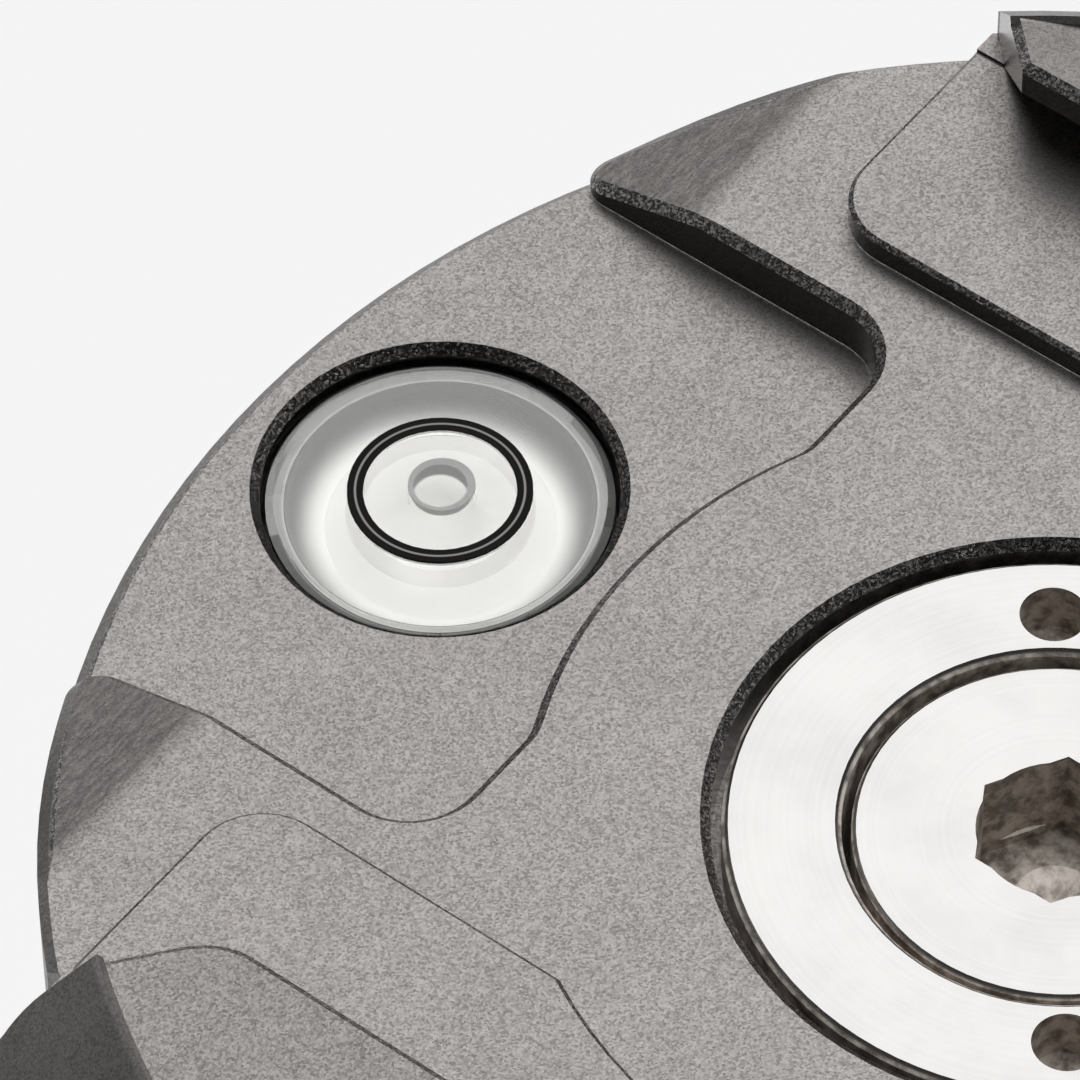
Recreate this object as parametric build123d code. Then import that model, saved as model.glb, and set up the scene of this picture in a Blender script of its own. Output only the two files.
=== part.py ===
from build123d import *
from math import cos, hypot, radians, sin, sqrt, tan
import os

# Tripod ball head with a round screw clamp. Millimetres, +Z up, origin at the centre of the base's underside.
# The drop notch and the bubble level are on the -X side, the fixed jaw on +Y and the moving jaw on -Y.

# Clearances
RUN = 0.05            # radial play of anything that turns or slides, and the gap beside thrust washers
SEAT_GAP = 0.02       # play of pieces that are fixed in their seats
BALL_PLAY = 0.3       # between the ball and the surfaces that grip it

# Ball, cup, race and housing
BALL_R = 18.0
STEM_R = 7.0
STEM_NECK = 10.0      # from the ball's top to the top of the stem
STEM_HEAD_R = 9.0
STEM_HEAD_T = 1.6
CUP_RIM_T = 0.5       # wall of the cup at its rim
RACE_T = 2.5
SHELL_WALL = 3.5      # housing wall outside the race
SHELL_TAPER = 3.4     # from the housing's outside in to its mouth
SHELL_MOUTH_H = 7.0   # ball centre to the housing's top
SHELL_SHOULDER_H = 2.2
SHELL_LIP_T = 1.5
SHELL_GROOVE = 0.45
SHELL_GROOVE_DROP = 10.0
SHELL_EDGE = 0.4
CUP_RIM_DROP = 8.0    # ball centre down to the cup's rim
CUP_FLOOR_T = 2.4
CUP_LIFT_ROOM = 0.6
RACE_DROP = 1.5       # ball centre down to the race's seat
NOTCH_PLAY = 0.5
CUP_BORE_R = BALL_R + CUP_RIM_T
RACE_R = BALL_R + RACE_T
SHELL_R = RACE_R + SHELL_WALL
SHELL_MOUTH_R = SHELL_R - SHELL_TAPER

# Base plate and pan bearing
BASE_STEP = 1.0       # from the housing's outside in to the base's
BASE_FOOT_STEP = 0.8
BASE_T = 9.0
BASE_FOOT_T = 3.6
BASE_BEVEL = 0.6
BASE_RIM_W = 4.7      # width of the ring that stands on the tripod
BASE_RELIEF_T = 0.5
SOCKET_R = 4.7625     # nominal radius of the 3/8 inch socket
SOCKET_DEPTH = 11.0
BUSH_WALL = 2.64
BUSH_T = 9.6
BUSH_FLANGE_W = 1.4
BUSH_FLANGE_T = 1.4
BUSH_RIM_W = 1.7      # ring of the base plate round the bush
PAN_GAP = 0.3         # open joint line between base plate and housing
PAN_RING_T = 3.2
PAN_RING_WALL = 3.0   # housing wall outside the ring
WASHER_T = 0.5
FLANGE_ROOM = 0.7     # between the flange and the housing's bore
FLANGE_OVERHANG = 4.8
FLANGE_T = 3.4
FLANGE_SCREW_R = 1.5
FLANGE_SCREW_HEAD_R = 2.9
FLANGE_SCREW_LENGTH = 6.0
FLANGE_SCREW_INSET = 3.0
FLANGE_SCREWS = 4
WEB_T = 2.0
FLOOR_SPANNER_R = 1.2
BASE_R = SHELL_R - BASE_STEP
BASE_FOOT_R = BASE_R - BASE_FOOT_STEP
BUSH_R = SOCKET_R + BUSH_WALL
BUSH_FLANGE_R = BUSH_R + BUSH_FLANGE_W
BASE_RELIEF_IN = BUSH_FLANGE_R + BUSH_RIM_W
BASE_RELIEF_OUT = BASE_FOOT_R - BASE_RIM_W
FLANGE_R = CUP_BORE_R - FLANGE_ROOM
HUB_R = FLANGE_R - FLANGE_OVERHANG
PAN_RING_R = SHELL_R - PAN_RING_WALL
FLANGE_SCREW_CIRCLE_R = HUB_R - FLANGE_SCREW_INSET

# Locking wedge, its screw and the main knob, along +Y
WEDGE_W = 10.0
WEDGE_MID_H = 2.9
WEDGE_SCREW_ROOM = 5.5   # from the wedge's front to the housing's bore
WEDGE_SPRING_ROOM = 8.3  # from the wedge's back to the housing's bore
WEDGE_BLOCK_L = 3.0
WEDGE_STEP = 4.0         # from the block back to the ramp's end
WEDGE_TAIL_L = 1.8
WEDGE_RUNOUT = 1.2       # extra length of ramp for the travel
WEDGE_ANGLE = 20.0
WEDGE_BACK_H = 4.3
WEDGE_ROOM = 1.1         # space round the wedge's end blocks
WEDGE_END = CUP_BORE_R - WEDGE_SCREW_ROOM
WEDGE_BACK = CUP_BORE_R - WEDGE_SPRING_ROOM
WEDGE_BLOCK = WEDGE_END - WEDGE_BLOCK_L
WEDGE_RAMP = WEDGE_BLOCK - WEDGE_STEP
WEDGE_TAIL = WEDGE_BACK - WEDGE_TAIL_L
LOCK_SCREW_R = 3.0
LOCK_TIP_R = 1.9
LOCK_TIP_L = 2.4
LOCK_BOSS_R = 9.0
LOCK_BOSS_PROUD = 2.0
LOCK_KNOB_GAP = 0.9
LOCK_KNOB_R = 10.6
LOCK_KNOB_L = 16.0
LOCK_GRIP_T = 1.6
LOCK_GRIP_L = 11.0
LOCK_GRIP_START = 2.4
LOCK_CAP_R = 6.5
LOCK_CAP_T = 1.0
LOCK_BOSS_END = SHELL_R + LOCK_BOSS_PROUD
SPRING_WIRE_R = 0.3
WEDGE_SPRING_R = 1.7
WEDGE_SPRING_PITCH = 1.5

# Small radial locks: brass or plastic pad, screw and knob
PAN_SCREW_R = 2.0
PAN_AZIMUTH = 250.0
PAN_KNOB_R = 6.5
PAN_KNOB_L = 10.0
FRICTION_SCREW_R = 2.0
FRICTION_AZIMUTH = 290.0
FRICTION_KNOB_R = 6.5
FRICTION_KNOB_L = 9.0
FRICTION_DROP = 3.9
PAD_L = 2.6
LOCK_SEAT_R = 5.0     # spotface under a small knob
LOCK_SEAT_PROUD = 0.8
SMALL_KNOB_GAP = 0.9

# Clamp plate, measured from its deck
CLAMP_R = 25.5
CLAMP_T = 7.6
CLAMP_TAPER = 2.7
CLAMP_HUB_T = 9.8
CLAMP_HUB_R = 11.0
CLAMP_HUB_ROOT_R = 14.0
CLAMP_GAP = 0.3       # open joint line between stem and clamp
RIM_LAND = 3.0
EDGE_BEVEL = 0.26     # along the rim and the pocket
PLATE_HALF = 18.84    # half of the plate's width where the flanks meet the pads, with the jaw closed
PAD_H = 0.78
PAD_BEVEL = 0.13
PAD_INNER = 11.9
PAD_SETBACK = 0.88    # from the rim in to the pad's end, at the flank
PAD_ARC_R = 13.6
PAD_CORNER_R = 1.9
FACET_W = 6.5         # width of the sloping end facets
FACET_ANGLE = 16.0
FACET_BLEND_R = 3.0
POCKET_DEPTH = 1.6
POCKET_HALF_W = 10.17
POCKET_RIM_W = 3.48   # from the counterbore to the pocket
POCKET_BULGE = 1.3    # the boss's round front stands this much into the pocket
POCKET_CORNER_R = 1.95
POCKET_BLEND_R = 1.2
MOUTH_BEVEL = 0.42    # bevel of the pocket's floor at the rim
MOUTH_CORNER_R = 0.8
CLAMP_BOTTOM_R = CLAMP_R - CLAMP_TAPER
FACET_START = CLAMP_R - FACET_W
PAD_END = sqrt(CLAMP_R ** 2 - PLATE_HALF ** 2) - PAD_SETBACK

# Jaws, measured from the deck
LIP_DEPTH = 1.76      # overhang of the 45 degree flanks
LIP_T = 0.76
LIP_BEVEL = 0.25
JAW_TOP_DROP = 1.45   # the sloping top's fall from the lip to the foot of the crest
JAW_CREST_H = 3.3     # height of the crest at the back of the jaw's top
JAW_CREST_INSET = 1.65
JAW_CREST_BEVEL = 0.15
JAW_TIP_INSET = 2.7   # from the pad's end in to the tip of the lip
MOVING_TIP_INSET = 3.72
JAW_CORNER_R = 0.5
MOVING_CORNER_R = 2.0
JAW_NOSE_R = 2.6
JAW_FOOT_BEVEL = 0.6
JAW_REACH = 2.5       # how far the moving jaw's outside stands beyond the plate's
MOVING_CREST_INSET = 3.7
MOVING_JAW_BOTTOM = 7.6
JAW_OPEN = 0.32       # gap between the moving jaw and the plate's flank at rest
JAW_STOP = 0.05       # the part of it that is left when the jaw is closed
ROOT_GROOVE_W = 0.14
ROOT_GROOVE_T = 0.1
LIP_HALF = PLATE_HALF - LIP_DEPTH
LIP_TOP = PAD_H + LIP_DEPTH + LIP_T
JAW_CREST_R = CLAMP_R - JAW_CREST_INSET
MOVING_JAW_R = CLAMP_R + JAW_REACH
MOVING_CREST_R = MOVING_JAW_R - MOVING_CREST_INSET

# Clamp screw, guide pins, springs and knob, along -Y
CLAMP_SCREW_R = 2.5
CLAMP_SCREW_DROP = 4.4
CLAMP_SCREW_TIP = 10.2
JAW_FACE_CUT = 1.0    # depth of the flat that the knob's washer turns on
JAW_SCREW_PLAY = 0.1
CLAMP_KNOB_R = 7.6
CLAMP_KNOB_L = 12.5
CLAMP_GRIP_T = 1.1
CLAMP_GRIP_L = 8.0
CLAMP_GRIP_START = 2.6
CLAMP_WASHER_R = 5.2
CLAMP_WASHER_T = 0.8
CLAMP_KNOB_GAP = 0.1
CLAMP_KNOB_ROOM = 1.2
PIN_R = 1.5
PIN_SPAN = 10.8
PIN_DEPTH = 8.0
PIN_REACH = 5.8
JAW_SPRING_R = 2.15
JAW_SPRING_POCKET = 4.6
JAW_SPRING_PITCH = 1.5
CLAMP_FACE = MOVING_JAW_R - JAW_FACE_CUT

# Ring nut, spindle and centre screw, measured from the deck
NUT_R = 8.44
NUT_RECESS = 0.285
NUT_FLANGE_T = 1.25
NUT_THREAD_R = 8.2
NUT_BORE_R = 5.45
NUT_EDGE = 0.16
COUNTERBORE_R = 8.72
COUNTERBORE_T = 1.6
SPANNER_HOLE_R = 0.87
SPANNER_CIRCLE_R = 6.68
SPANNER_DEPTH = 1.6
SPANNER_AZIMUTH = 127.0
HEAD_R = 5.2
HEAD_RECESS = 0.49
HEAD_T = 4.0
HEAD_EDGE = 0.12
HEX_ACROSS_FLATS = 4.0
HEX_DEPTH = 2.9
HEX_CONE = 0.35
SCREW_R = 3.0
SCREW_L = 20.0
SPINDLE_FLANGE_R = 8.0
SPINDLE_FLANGE_T = 1.9
SPINDLE_NECK_R = 6.3
SPINDLE_WASHER_T = 0.45
CLAMP_LOCK_SCREW_R = 1.75
CLAMP_LOCK_KNOB_R = 4.6
CLAMP_LOCK_KNOB_L = 7.5
CLAMP_LOCK_PAD_L = 2.0
CLAMP_LOCK_SEAT_R = 2.85
CLAMP_LOCK_SEAT_PROUD = 0.5
POCKET_START = COUNTERBORE_R + POCKET_RIM_W
POCKET_ARC_R = POCKET_START + POCKET_BULGE
CLAMP_LOCK_SEAT_END = CLAMP_R + CLAMP_LOCK_SEAT_PROUD

# Bubble level, in the pocket
LEVEL_INSET = 5.87    # from the rim in to the level's centre
LEVEL_R = 4.54
LEVEL_PLAY = 0.13
LEVEL_RECESS = 0.33
LEVEL_DEPTH = 2.5
LENS_T = 0.5
LENS_CROWN = 0.3
LENS_EDGE = 0.2
CUP_WALL = 0.5
LEVEL_FLOOR_T = 0.35
LEVEL_CARD_T = 0.25   # white disc under the fluid
MARK_R = 2.41
MARK_W = 0.41
MARK_T = 0.12
MARK_PROUD = 0.02
BUBBLE_R = 0.87
BUBBLE_T = 0.5
BUBBLE_EDGE_R = 0.4
BUBBLE_X = -0.3       # where the bubble floats, off the level's axis
BUBBLE_Y = 0.44
LEVEL_X = CLAMP_R - LEVEL_INSET
LEVEL_BORE_R = LEVEL_R + LEVEL_PLAY

# Heights worked out from the stack
SHELL_BOTTOM = BASE_T + PAN_GAP
HUB_TOP = SHELL_BOTTOM + PAN_RING_T + WASHER_T + 2 * RUN
FLANGE_TOP = HUB_TOP + FLANGE_T
WEB_BOTTOM = FLANGE_TOP + WASHER_T + 2 * RUN
WEB_TOP = WEB_BOTTOM + WEB_T
WEDGE_MID = WEB_TOP + RUN + WEDGE_MID_H
BALL_Z = WEDGE_MID + RUN + CUP_FLOOR_T + BALL_PLAY + BALL_R
SHELL_TOP = BALL_Z + SHELL_MOUTH_H
STEM_TOP = BALL_Z + BALL_R + STEM_NECK
DECK_Z = STEM_TOP + CLAMP_GAP + CLAMP_HUB_T
LOCK_Z = WEB_TOP + 0.3 + LOCK_SCREW_R
PAN_LOCK_Z = HUB_TOP + FLANGE_T / 2
GRIP_SPHERE_R = BALL_R + BALL_PLAY
JAW_TOP = LIP_TOP + LIP_BEVEL
SPINDLE_TOP = -HEAD_RECESS - HEAD_T
SPINDLE_FLANGE_BOTTOM = SPINDLE_TOP - SPINDLE_FLANGE_T
CAVITY_FLOOR = SPINDLE_FLANGE_BOTTOM - SPINDLE_WASHER_T - 2 * RUN
NUT_BOTTOM = SPINDLE_TOP + SPINDLE_WASHER_T + 2 * RUN
CLAMP_LOCK_DROP = SPINDLE_TOP - SPINDLE_FLANGE_T / 2
POCKET_FLOOR = -POCKET_DEPTH
LEVEL_BOTTOM = POCKET_FLOOR - LEVEL_DEPTH
LENS_EDGE_TOP = POCKET_FLOOR - LEVEL_RECESS
LENS_BOTTOM = LENS_EDGE_TOP - LENS_T
CLAMP_SCREW_Z = -CLAMP_SCREW_DROP

UP = (Align.CENTER, Align.CENTER, Align.MIN)


def column(radius, bottom, top, x=0.0, y=0.0):
    """Upright cylinder between two heights."""
    return Pos(x, y, bottom) * Cylinder(radius, top - bottom, align=UP)


def tube(outer, inner, bottom, top):
    """Upright cylinder with a bore."""
    return column(outer, bottom, top) - column(inner, bottom - 1, top + 1)


def block(width, depth, bottom, top, x=0.0, y=0.0):
    """Upright box between two heights."""
    return Pos(x, y, bottom) * Box(width, depth, top - bottom, align=UP)


def turned(*profile):
    """Solid turned about Z from a profile of radius and height."""
    return revolve(make_face(Plane.XZ * Polyline(*profile, close=True)), Axis.Z)


def ball_space(radius):
    """Sphere about the ball's centre."""
    return Pos(0, 0, BALL_Z) * Sphere(radius)


def along_radius(solid, azimuth, height):
    """Lays a solid that stands on the origin out along a radius."""
    return Pos(0, 0, height) * Rot(0, 0, azimuth) * Rot(0, 90, 0) * solid


def spring(radius, wire, pitch, length):
    """Coil spring standing on its first coil, between two planes."""
    coil = Helix(pitch, length - 2 * wire, radius)
    section = Plane(coil @ 0, z_dir=coil % 0) * Circle(wire)
    return Pos(0, 0, wire) * sweep(section, path=coil, is_frenet=True)


def knob(radius, length, flutes, depth, edge):
    """Knob standing on its inner face, with rounded flutes round its edge."""
    body = chamfer(column(radius, 0, length).edges().filter_by(GeomType.CIRCLE), edge)
    cutter_r = radius * 3.1 / flutes
    centre_r = radius + cutter_r - depth
    for k in range(flutes):
        angle = radians(360 * k / flutes)
        body -= column(cutter_r, -1, length + 1, centre_r * cos(angle), centre_r * sin(angle))
    return body


def radial_lock(contact_r, pad_l, screw_r, seat_r, knob_r, knob_l):
    """Pad, screw and knob of a small radial lock, standing along +Z from the axis that it acts on."""
    pad_end = contact_r + RUN + pad_l
    knob_start = seat_r + SMALL_KNOB_GAP
    stop = knob_start + 0.6 * knob_l
    pad = column(pad_r(screw_r), contact_r + RUN, pad_end)
    screw = column(screw_r, pad_end + SEAT_GAP, stop)
    head = Pos(0, 0, knob_start) * knob(knob_r, knob_l, 12, 0.5, 0.5)
    head -= column(screw_r + SEAT_GAP, knob_start - 1, stop + SEAT_GAP)
    return pad, screw, head


def pad_r(screw_r):
    """Radius of the pad in front of a lock screw."""
    return 0.8 * screw_r


def radial_lock_bore(contact_r, pad_l, screw_r, seat_r):
    """Stepped hole for a small radial lock."""
    step = contact_r + pad_l - 2 * RUN
    return column(pad_r(screw_r) + RUN, contact_r - 2, step + 1) + column(screw_r + RUN, step, seat_r + 3)


# ---------------------------------------------------------------- base and pan bearing

def make_base_plate():
    body = turned(
        (0, 0), (BASE_FOOT_R - BASE_BEVEL, 0), (BASE_FOOT_R, BASE_BEVEL), (BASE_FOOT_R, BASE_FOOT_T),
        (BASE_R, BASE_FOOT_T + BASE_BEVEL), (BASE_R, BASE_T - BASE_BEVEL / 2),
        (BASE_R - BASE_BEVEL / 2, BASE_T), (HUB_R, BASE_T), (HUB_R, HUB_TOP), (0, HUB_TOP))
    body -= tube(BASE_RELIEF_OUT, BASE_RELIEF_IN, -1, BASE_RELIEF_T)
    body -= column(BUSH_FLANGE_R + SEAT_GAP, -1, BUSH_FLANGE_T + SEAT_GAP)
    body -= column(BUSH_R + SEAT_GAP, -1, BUSH_T + SEAT_GAP)
    body -= column(SOCKET_R + 0.2, -1, SOCKET_DEPTH)
    hole_bottom = FLANGE_TOP - FLANGE_SCREW_LENGTH - 0.5
    hole = column(FLANGE_SCREW_R + SEAT_GAP, hole_bottom, HUB_TOP + 1, FLANGE_SCREW_CIRCLE_R)
    for solid in around(FLANGE_SCREWS, hole):
        body -= solid
    return body


def around(count, solid):
    """Copies of a solid, evenly spaced about Z."""
    return [Rot(0, 0, 360 * k / count) * solid for k in range(count)]


def make_thread_bush():
    bush = turned(
        (SOCKET_R, 0), (BUSH_FLANGE_R, 0), (BUSH_FLANGE_R, BUSH_FLANGE_T),
        (BUSH_R, BUSH_FLANGE_T), (BUSH_R, BUSH_T), (SOCKET_R, BUSH_T))
    return bush


def flange_screw():
    head_t = FLANGE_SCREW_HEAD_R - FLANGE_SCREW_R
    screw = turned(
        (0, FLANGE_TOP - FLANGE_SCREW_LENGTH), (FLANGE_SCREW_R, FLANGE_TOP - FLANGE_SCREW_LENGTH),
        (FLANGE_SCREW_R, FLANGE_TOP - head_t), (FLANGE_SCREW_HEAD_R, FLANGE_TOP), (0, FLANGE_TOP))
    socket = extrude(Plane.XY.offset(FLANGE_TOP - 1.1) * RegularPolygon(1.15, 6), 2)
    return Pos(FLANGE_SCREW_CIRCLE_R, 0, 0) * (screw - socket)


def make_pan_flange():
    plate = chamfer(column(FLANGE_R, HUB_TOP, FLANGE_TOP).edges(), 0.3)
    head_t = FLANGE_SCREW_HEAD_R - FLANGE_SCREW_R
    sink = turned(
        (0, HUB_TOP - 1), (FLANGE_SCREW_R + SEAT_GAP, HUB_TOP - 1),
        (FLANGE_SCREW_R + SEAT_GAP, FLANGE_TOP - head_t),
        (FLANGE_SCREW_HEAD_R + SEAT_GAP, FLANGE_TOP), (FLANGE_SCREW_HEAD_R + SEAT_GAP, FLANGE_TOP + 1),
        (0, FLANGE_TOP + 1))
    for hole in around(FLANGE_SCREWS, Pos(FLANGE_SCREW_CIRCLE_R, 0, 0) * sink):
        plate -= hole
    return plate


def make_pan_flange_screws():
    return Compound(children=around(FLANGE_SCREWS, flange_screw()))


def make_pan_lower_washer():
    return tube(FLANGE_R - 0.4, HUB_R + 0.3, HUB_TOP - RUN - WASHER_T, HUB_TOP - RUN)


def make_pan_upper_washer():
    inner = FLANGE_SCREW_CIRCLE_R + FLANGE_SCREW_HEAD_R + 0.4
    return tube(FLANGE_R - 0.4, inner, FLANGE_TOP + RUN, FLANGE_TOP + RUN + WASHER_T)


def make_pan_ring():
    return tube(PAN_RING_R - SEAT_GAP, HUB_R + RUN, SHELL_BOTTOM, SHELL_BOTTOM + PAN_RING_T)


# ---------------------------------------------------------------- housing and ball grip

def notch_space(half_width):
    """U-shaped slot towards -X in which the stem lies when the ball is dropped."""
    reach = SHELL_R + 4
    slot = block(reach, 2 * half_width, BALL_Z, SHELL_TOP + 2, -reach / 2)
    floor = Pos(-reach / 2, 0, BALL_Z) * Rot(0, 90, 0) * Cylinder(half_width, reach)
    return slot + floor


def make_housing():
    groove_z = BALL_Z - SHELL_GROOVE_DROP
    outside = turned(
        (0, SHELL_BOTTOM), (SHELL_R - SHELL_EDGE, SHELL_BOTTOM), (SHELL_R, SHELL_BOTTOM + SHELL_EDGE),
        (SHELL_R, groove_z - SHELL_GROOVE), (SHELL_R - SHELL_GROOVE, groove_z),
        (SHELL_R, groove_z + SHELL_GROOVE),
        (SHELL_R, BALL_Z + SHELL_SHOULDER_H), (SHELL_R - 0.7, BALL_Z + SHELL_SHOULDER_H + 1.6),
        (SHELL_MOUTH_R, SHELL_TOP), (0, SHELL_TOP))
    body = outside + along_radius(column(LOCK_BOSS_R, SHELL_R - 4, LOCK_BOSS_END), 90, LOCK_Z)
    seat = column(LOCK_SEAT_R, SHELL_R - 3, SHELL_R + LOCK_SEAT_PROUD)
    body += along_radius(seat, PAN_AZIMUTH, PAN_LOCK_Z)
    body += along_radius(seat, FRICTION_AZIMUTH, BALL_Z - FRICTION_DROP)
    body -= column(PAN_RING_R, SHELL_BOTTOM - 1, SHELL_BOTTOM + PAN_RING_T)
    body -= column(CUP_BORE_R, SHELL_BOTTOM + PAN_RING_T - 0.5, BALL_Z)
    body -= column(RACE_R, BALL_Z - RACE_DROP, SHELL_TOP - SHELL_LIP_T)
    body -= turned((0, SHELL_TOP - SHELL_LIP_T - 1), (mouth_r(), SHELL_TOP - SHELL_LIP_T - 1),
                   (mouth_r(), SHELL_TOP - 0.6), (mouth_r() + 0.8, SHELL_TOP + 0.2), (0, SHELL_TOP + 0.2))
    body -= notch_space(STEM_R + NOTCH_PLAY)
    body -= along_radius(column(LOCK_SCREW_R + RUN, CUP_BORE_R - 2, LOCK_BOSS_END + 1), 90, LOCK_Z)
    body -= along_radius(radial_lock_bore(FLANGE_R, PAD_L, PAN_SCREW_R, SHELL_R), PAN_AZIMUTH, PAN_LOCK_Z)
    body -= along_radius(radial_lock_bore(friction_contact(), PAD_L, FRICTION_SCREW_R, SHELL_R),
                         FRICTION_AZIMUTH, BALL_Z - FRICTION_DROP)
    return body


def make_housing_floor():
    plate = column(CUP_BORE_R - SEAT_GAP, WEB_BOTTOM, WEB_TOP)
    hole = column(FLOOR_SPANNER_R, WEB_BOTTOM - 1, WEB_TOP - 0.6, FLANGE_SCREW_CIRCLE_R)
    for solid in around(2, hole):
        plate -= solid
    return plate


def mouth_r():
    """Radius of the housing's mouth, just clear of the ball."""
    height = SHELL_MOUTH_H - SHELL_LIP_T
    return sqrt(GRIP_SPHERE_R ** 2 - height ** 2)


def friction_contact():
    """Distance of the friction pad's face from the axis."""
    return BALL_R + 0.15


def make_upper_race():
    ring = column(RACE_R - SEAT_GAP, BALL_Z - RACE_DROP + SEAT_GAP, SHELL_TOP - SHELL_LIP_T - SEAT_GAP)
    return ring - ball_space(GRIP_SPHERE_R) - notch_space(STEM_R + NOTCH_PLAY)


def wedge_ramp(y):
    """Height of the wedge's ramp at a distance along Y."""
    return WEDGE_MID + y * tan(radians(WEDGE_ANGLE))


def make_ball_cup():
    bottom = WEB_TOP + CUP_LIFT_ROOM
    cup = column(CUP_BORE_R - RUN, bottom, BALL_Z - CUP_RIM_DROP) - ball_space(GRIP_SPHERE_R)
    ramp_end = WEDGE_RAMP + WEDGE_RUNOUT
    end_top = wedge_top() + CUP_LIFT_ROOM
    back_top = WEB_TOP + WEDGE_BACK_H + CUP_LIFT_ROOM
    ceiling = [
        (-CUP_BORE_R - 1, WEB_TOP - 1), (-CUP_BORE_R - 1, back_top), (WEDGE_ROOM - WEDGE_TAIL, back_top),
        (WEDGE_ROOM - WEDGE_TAIL, wedge_ramp(-WEDGE_RAMP) + RUN),
        (-WEDGE_RAMP, wedge_ramp(-WEDGE_RAMP) + RUN),
        (ramp_end, wedge_ramp(ramp_end) + RUN), (WEDGE_BLOCK - WEDGE_ROOM, wedge_ramp(ramp_end) + RUN),
        (WEDGE_BLOCK - WEDGE_ROOM, end_top), (CUP_BORE_R + 1, end_top), (CUP_BORE_R + 1, WEB_TOP - 1)]
    channel = extrude(Plane.YZ * make_face(Polyline(*ceiling, close=True)), WEDGE_W / 2 + 0.2, both=True)
    return cup - channel


def wedge_top():
    """Top of the block at the wedge's thick end, level with its screw."""
    return LOCK_Z + LOCK_SCREW_R


def make_lock_wedge():
    tail = -WEDGE_RAMP - WEDGE_RUNOUT
    back_top = WEB_TOP + WEDGE_BACK_H
    side = [
        (-WEDGE_BACK, WEB_TOP + RUN), (-WEDGE_BACK, back_top), (-WEDGE_TAIL, back_top),
        (-WEDGE_TAIL, wedge_ramp(tail)), (tail, wedge_ramp(tail)),
        (WEDGE_RAMP, wedge_ramp(WEDGE_RAMP)), (WEDGE_BLOCK, wedge_ramp(WEDGE_RAMP)),
        (WEDGE_BLOCK, wedge_top()), (WEDGE_END, wedge_top()), (WEDGE_END, WEB_TOP + RUN)]
    body = extrude(Plane.YZ * make_face(Polyline(*side, close=True)), WEDGE_W / 2, both=True)
    socket = column(LOCK_TIP_R + RUN, WEDGE_END - LOCK_TIP_L - 0.1, WEDGE_END + 1)
    return body - along_radius(socket, 90, LOCK_Z)


def make_wedge_spring():
    length = CUP_BORE_R - WEDGE_BACK - 0.5
    coil = Pos(0, 0, WEDGE_BACK + 0.1) * spring(WEDGE_SPRING_R, SPRING_WIRE_R, WEDGE_SPRING_PITCH, length)
    return along_radius(coil, 270, WEB_TOP + 0.15 + WEDGE_SPRING_R + SPRING_WIRE_R)


def make_lock_screw():
    stop = LOCK_BOSS_END + LOCK_KNOB_GAP + LOCK_KNOB_L - LOCK_CAP_T - 3
    screw = column(LOCK_SCREW_R, WEDGE_END + SEAT_GAP, stop)
    tip = column(LOCK_TIP_R, WEDGE_END - LOCK_TIP_L, WEDGE_END + 1)
    return along_radius(screw + tip, 90, LOCK_Z)


def lock_knob_start():
    """Distance of the main knob's inner face from the axis."""
    return LOCK_BOSS_END + LOCK_KNOB_GAP


def make_lock_knob():
    start = lock_knob_start()
    body = chamfer(column(LOCK_KNOB_R, start, start + LOCK_KNOB_L).edges(), 0.8)
    grip_start = start + LOCK_GRIP_START
    groove = column(LOCK_KNOB_R + 1, grip_start, grip_start + LOCK_GRIP_L)
    body -= groove - column(LOCK_KNOB_R - LOCK_GRIP_T, grip_start - 1, grip_start + LOCK_GRIP_L + 1)
    body -= column(LOCK_SCREW_R + SEAT_GAP, start - 1, start + LOCK_KNOB_L - LOCK_CAP_T - 3 + SEAT_GAP)
    body -= column(LOCK_CAP_R + SEAT_GAP, start + LOCK_KNOB_L - LOCK_CAP_T, start + LOCK_KNOB_L + 1)
    return along_radius(body, 90, LOCK_Z)


def make_lock_knob_grip():
    start = lock_knob_start() + LOCK_GRIP_START + SEAT_GAP
    length = LOCK_GRIP_L - 2 * SEAT_GAP
    ring = Pos(0, 0, start) * knob(LOCK_KNOB_R + 0.9, length, 18, 0.7, 0.5)
    ring -= column(LOCK_KNOB_R - LOCK_GRIP_T + SEAT_GAP, start - 1, start + length + 1)
    return along_radius(ring, 90, LOCK_Z)


def make_lock_knob_cap():
    top = lock_knob_start() + LOCK_KNOB_L
    disc = column(LOCK_CAP_R, top - LOCK_CAP_T + SEAT_GAP, top + 0.2)
    return along_radius(chamfer(disc.edges().group_by(Axis.Z)[-1], 0.2), 90, LOCK_Z)


def pan_lock():
    """Pad, screw and knob that lock the panning base."""
    pieces = radial_lock(FLANGE_R, PAD_L, PAN_SCREW_R, SHELL_R + LOCK_SEAT_PROUD, PAN_KNOB_R, PAN_KNOB_L)
    return [along_radius(piece, PAN_AZIMUTH, PAN_LOCK_Z) for piece in pieces]


def friction_lock():
    """Pad, screw and knob that set the ball's drag."""
    pieces = radial_lock(friction_contact(), PAD_L, FRICTION_SCREW_R, SHELL_R + LOCK_SEAT_PROUD,
                         FRICTION_KNOB_R, FRICTION_KNOB_L)
    return [along_radius(piece, FRICTION_AZIMUTH, BALL_Z - FRICTION_DROP) for piece in pieces]


def make_ball_stem():
    stem = column(STEM_R, BALL_Z, STEM_TOP) + column(STEM_HEAD_R, STEM_TOP - STEM_HEAD_T, STEM_TOP)
    body = ball_space(BALL_R) + stem
    return body - column(SCREW_R + SEAT_GAP, DECK_Z + SPINDLE_TOP - SCREW_L - 1, STEM_TOP + 1)


# ------------------------------------------------------- clamp, in its own frame with the deck at zero

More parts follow.
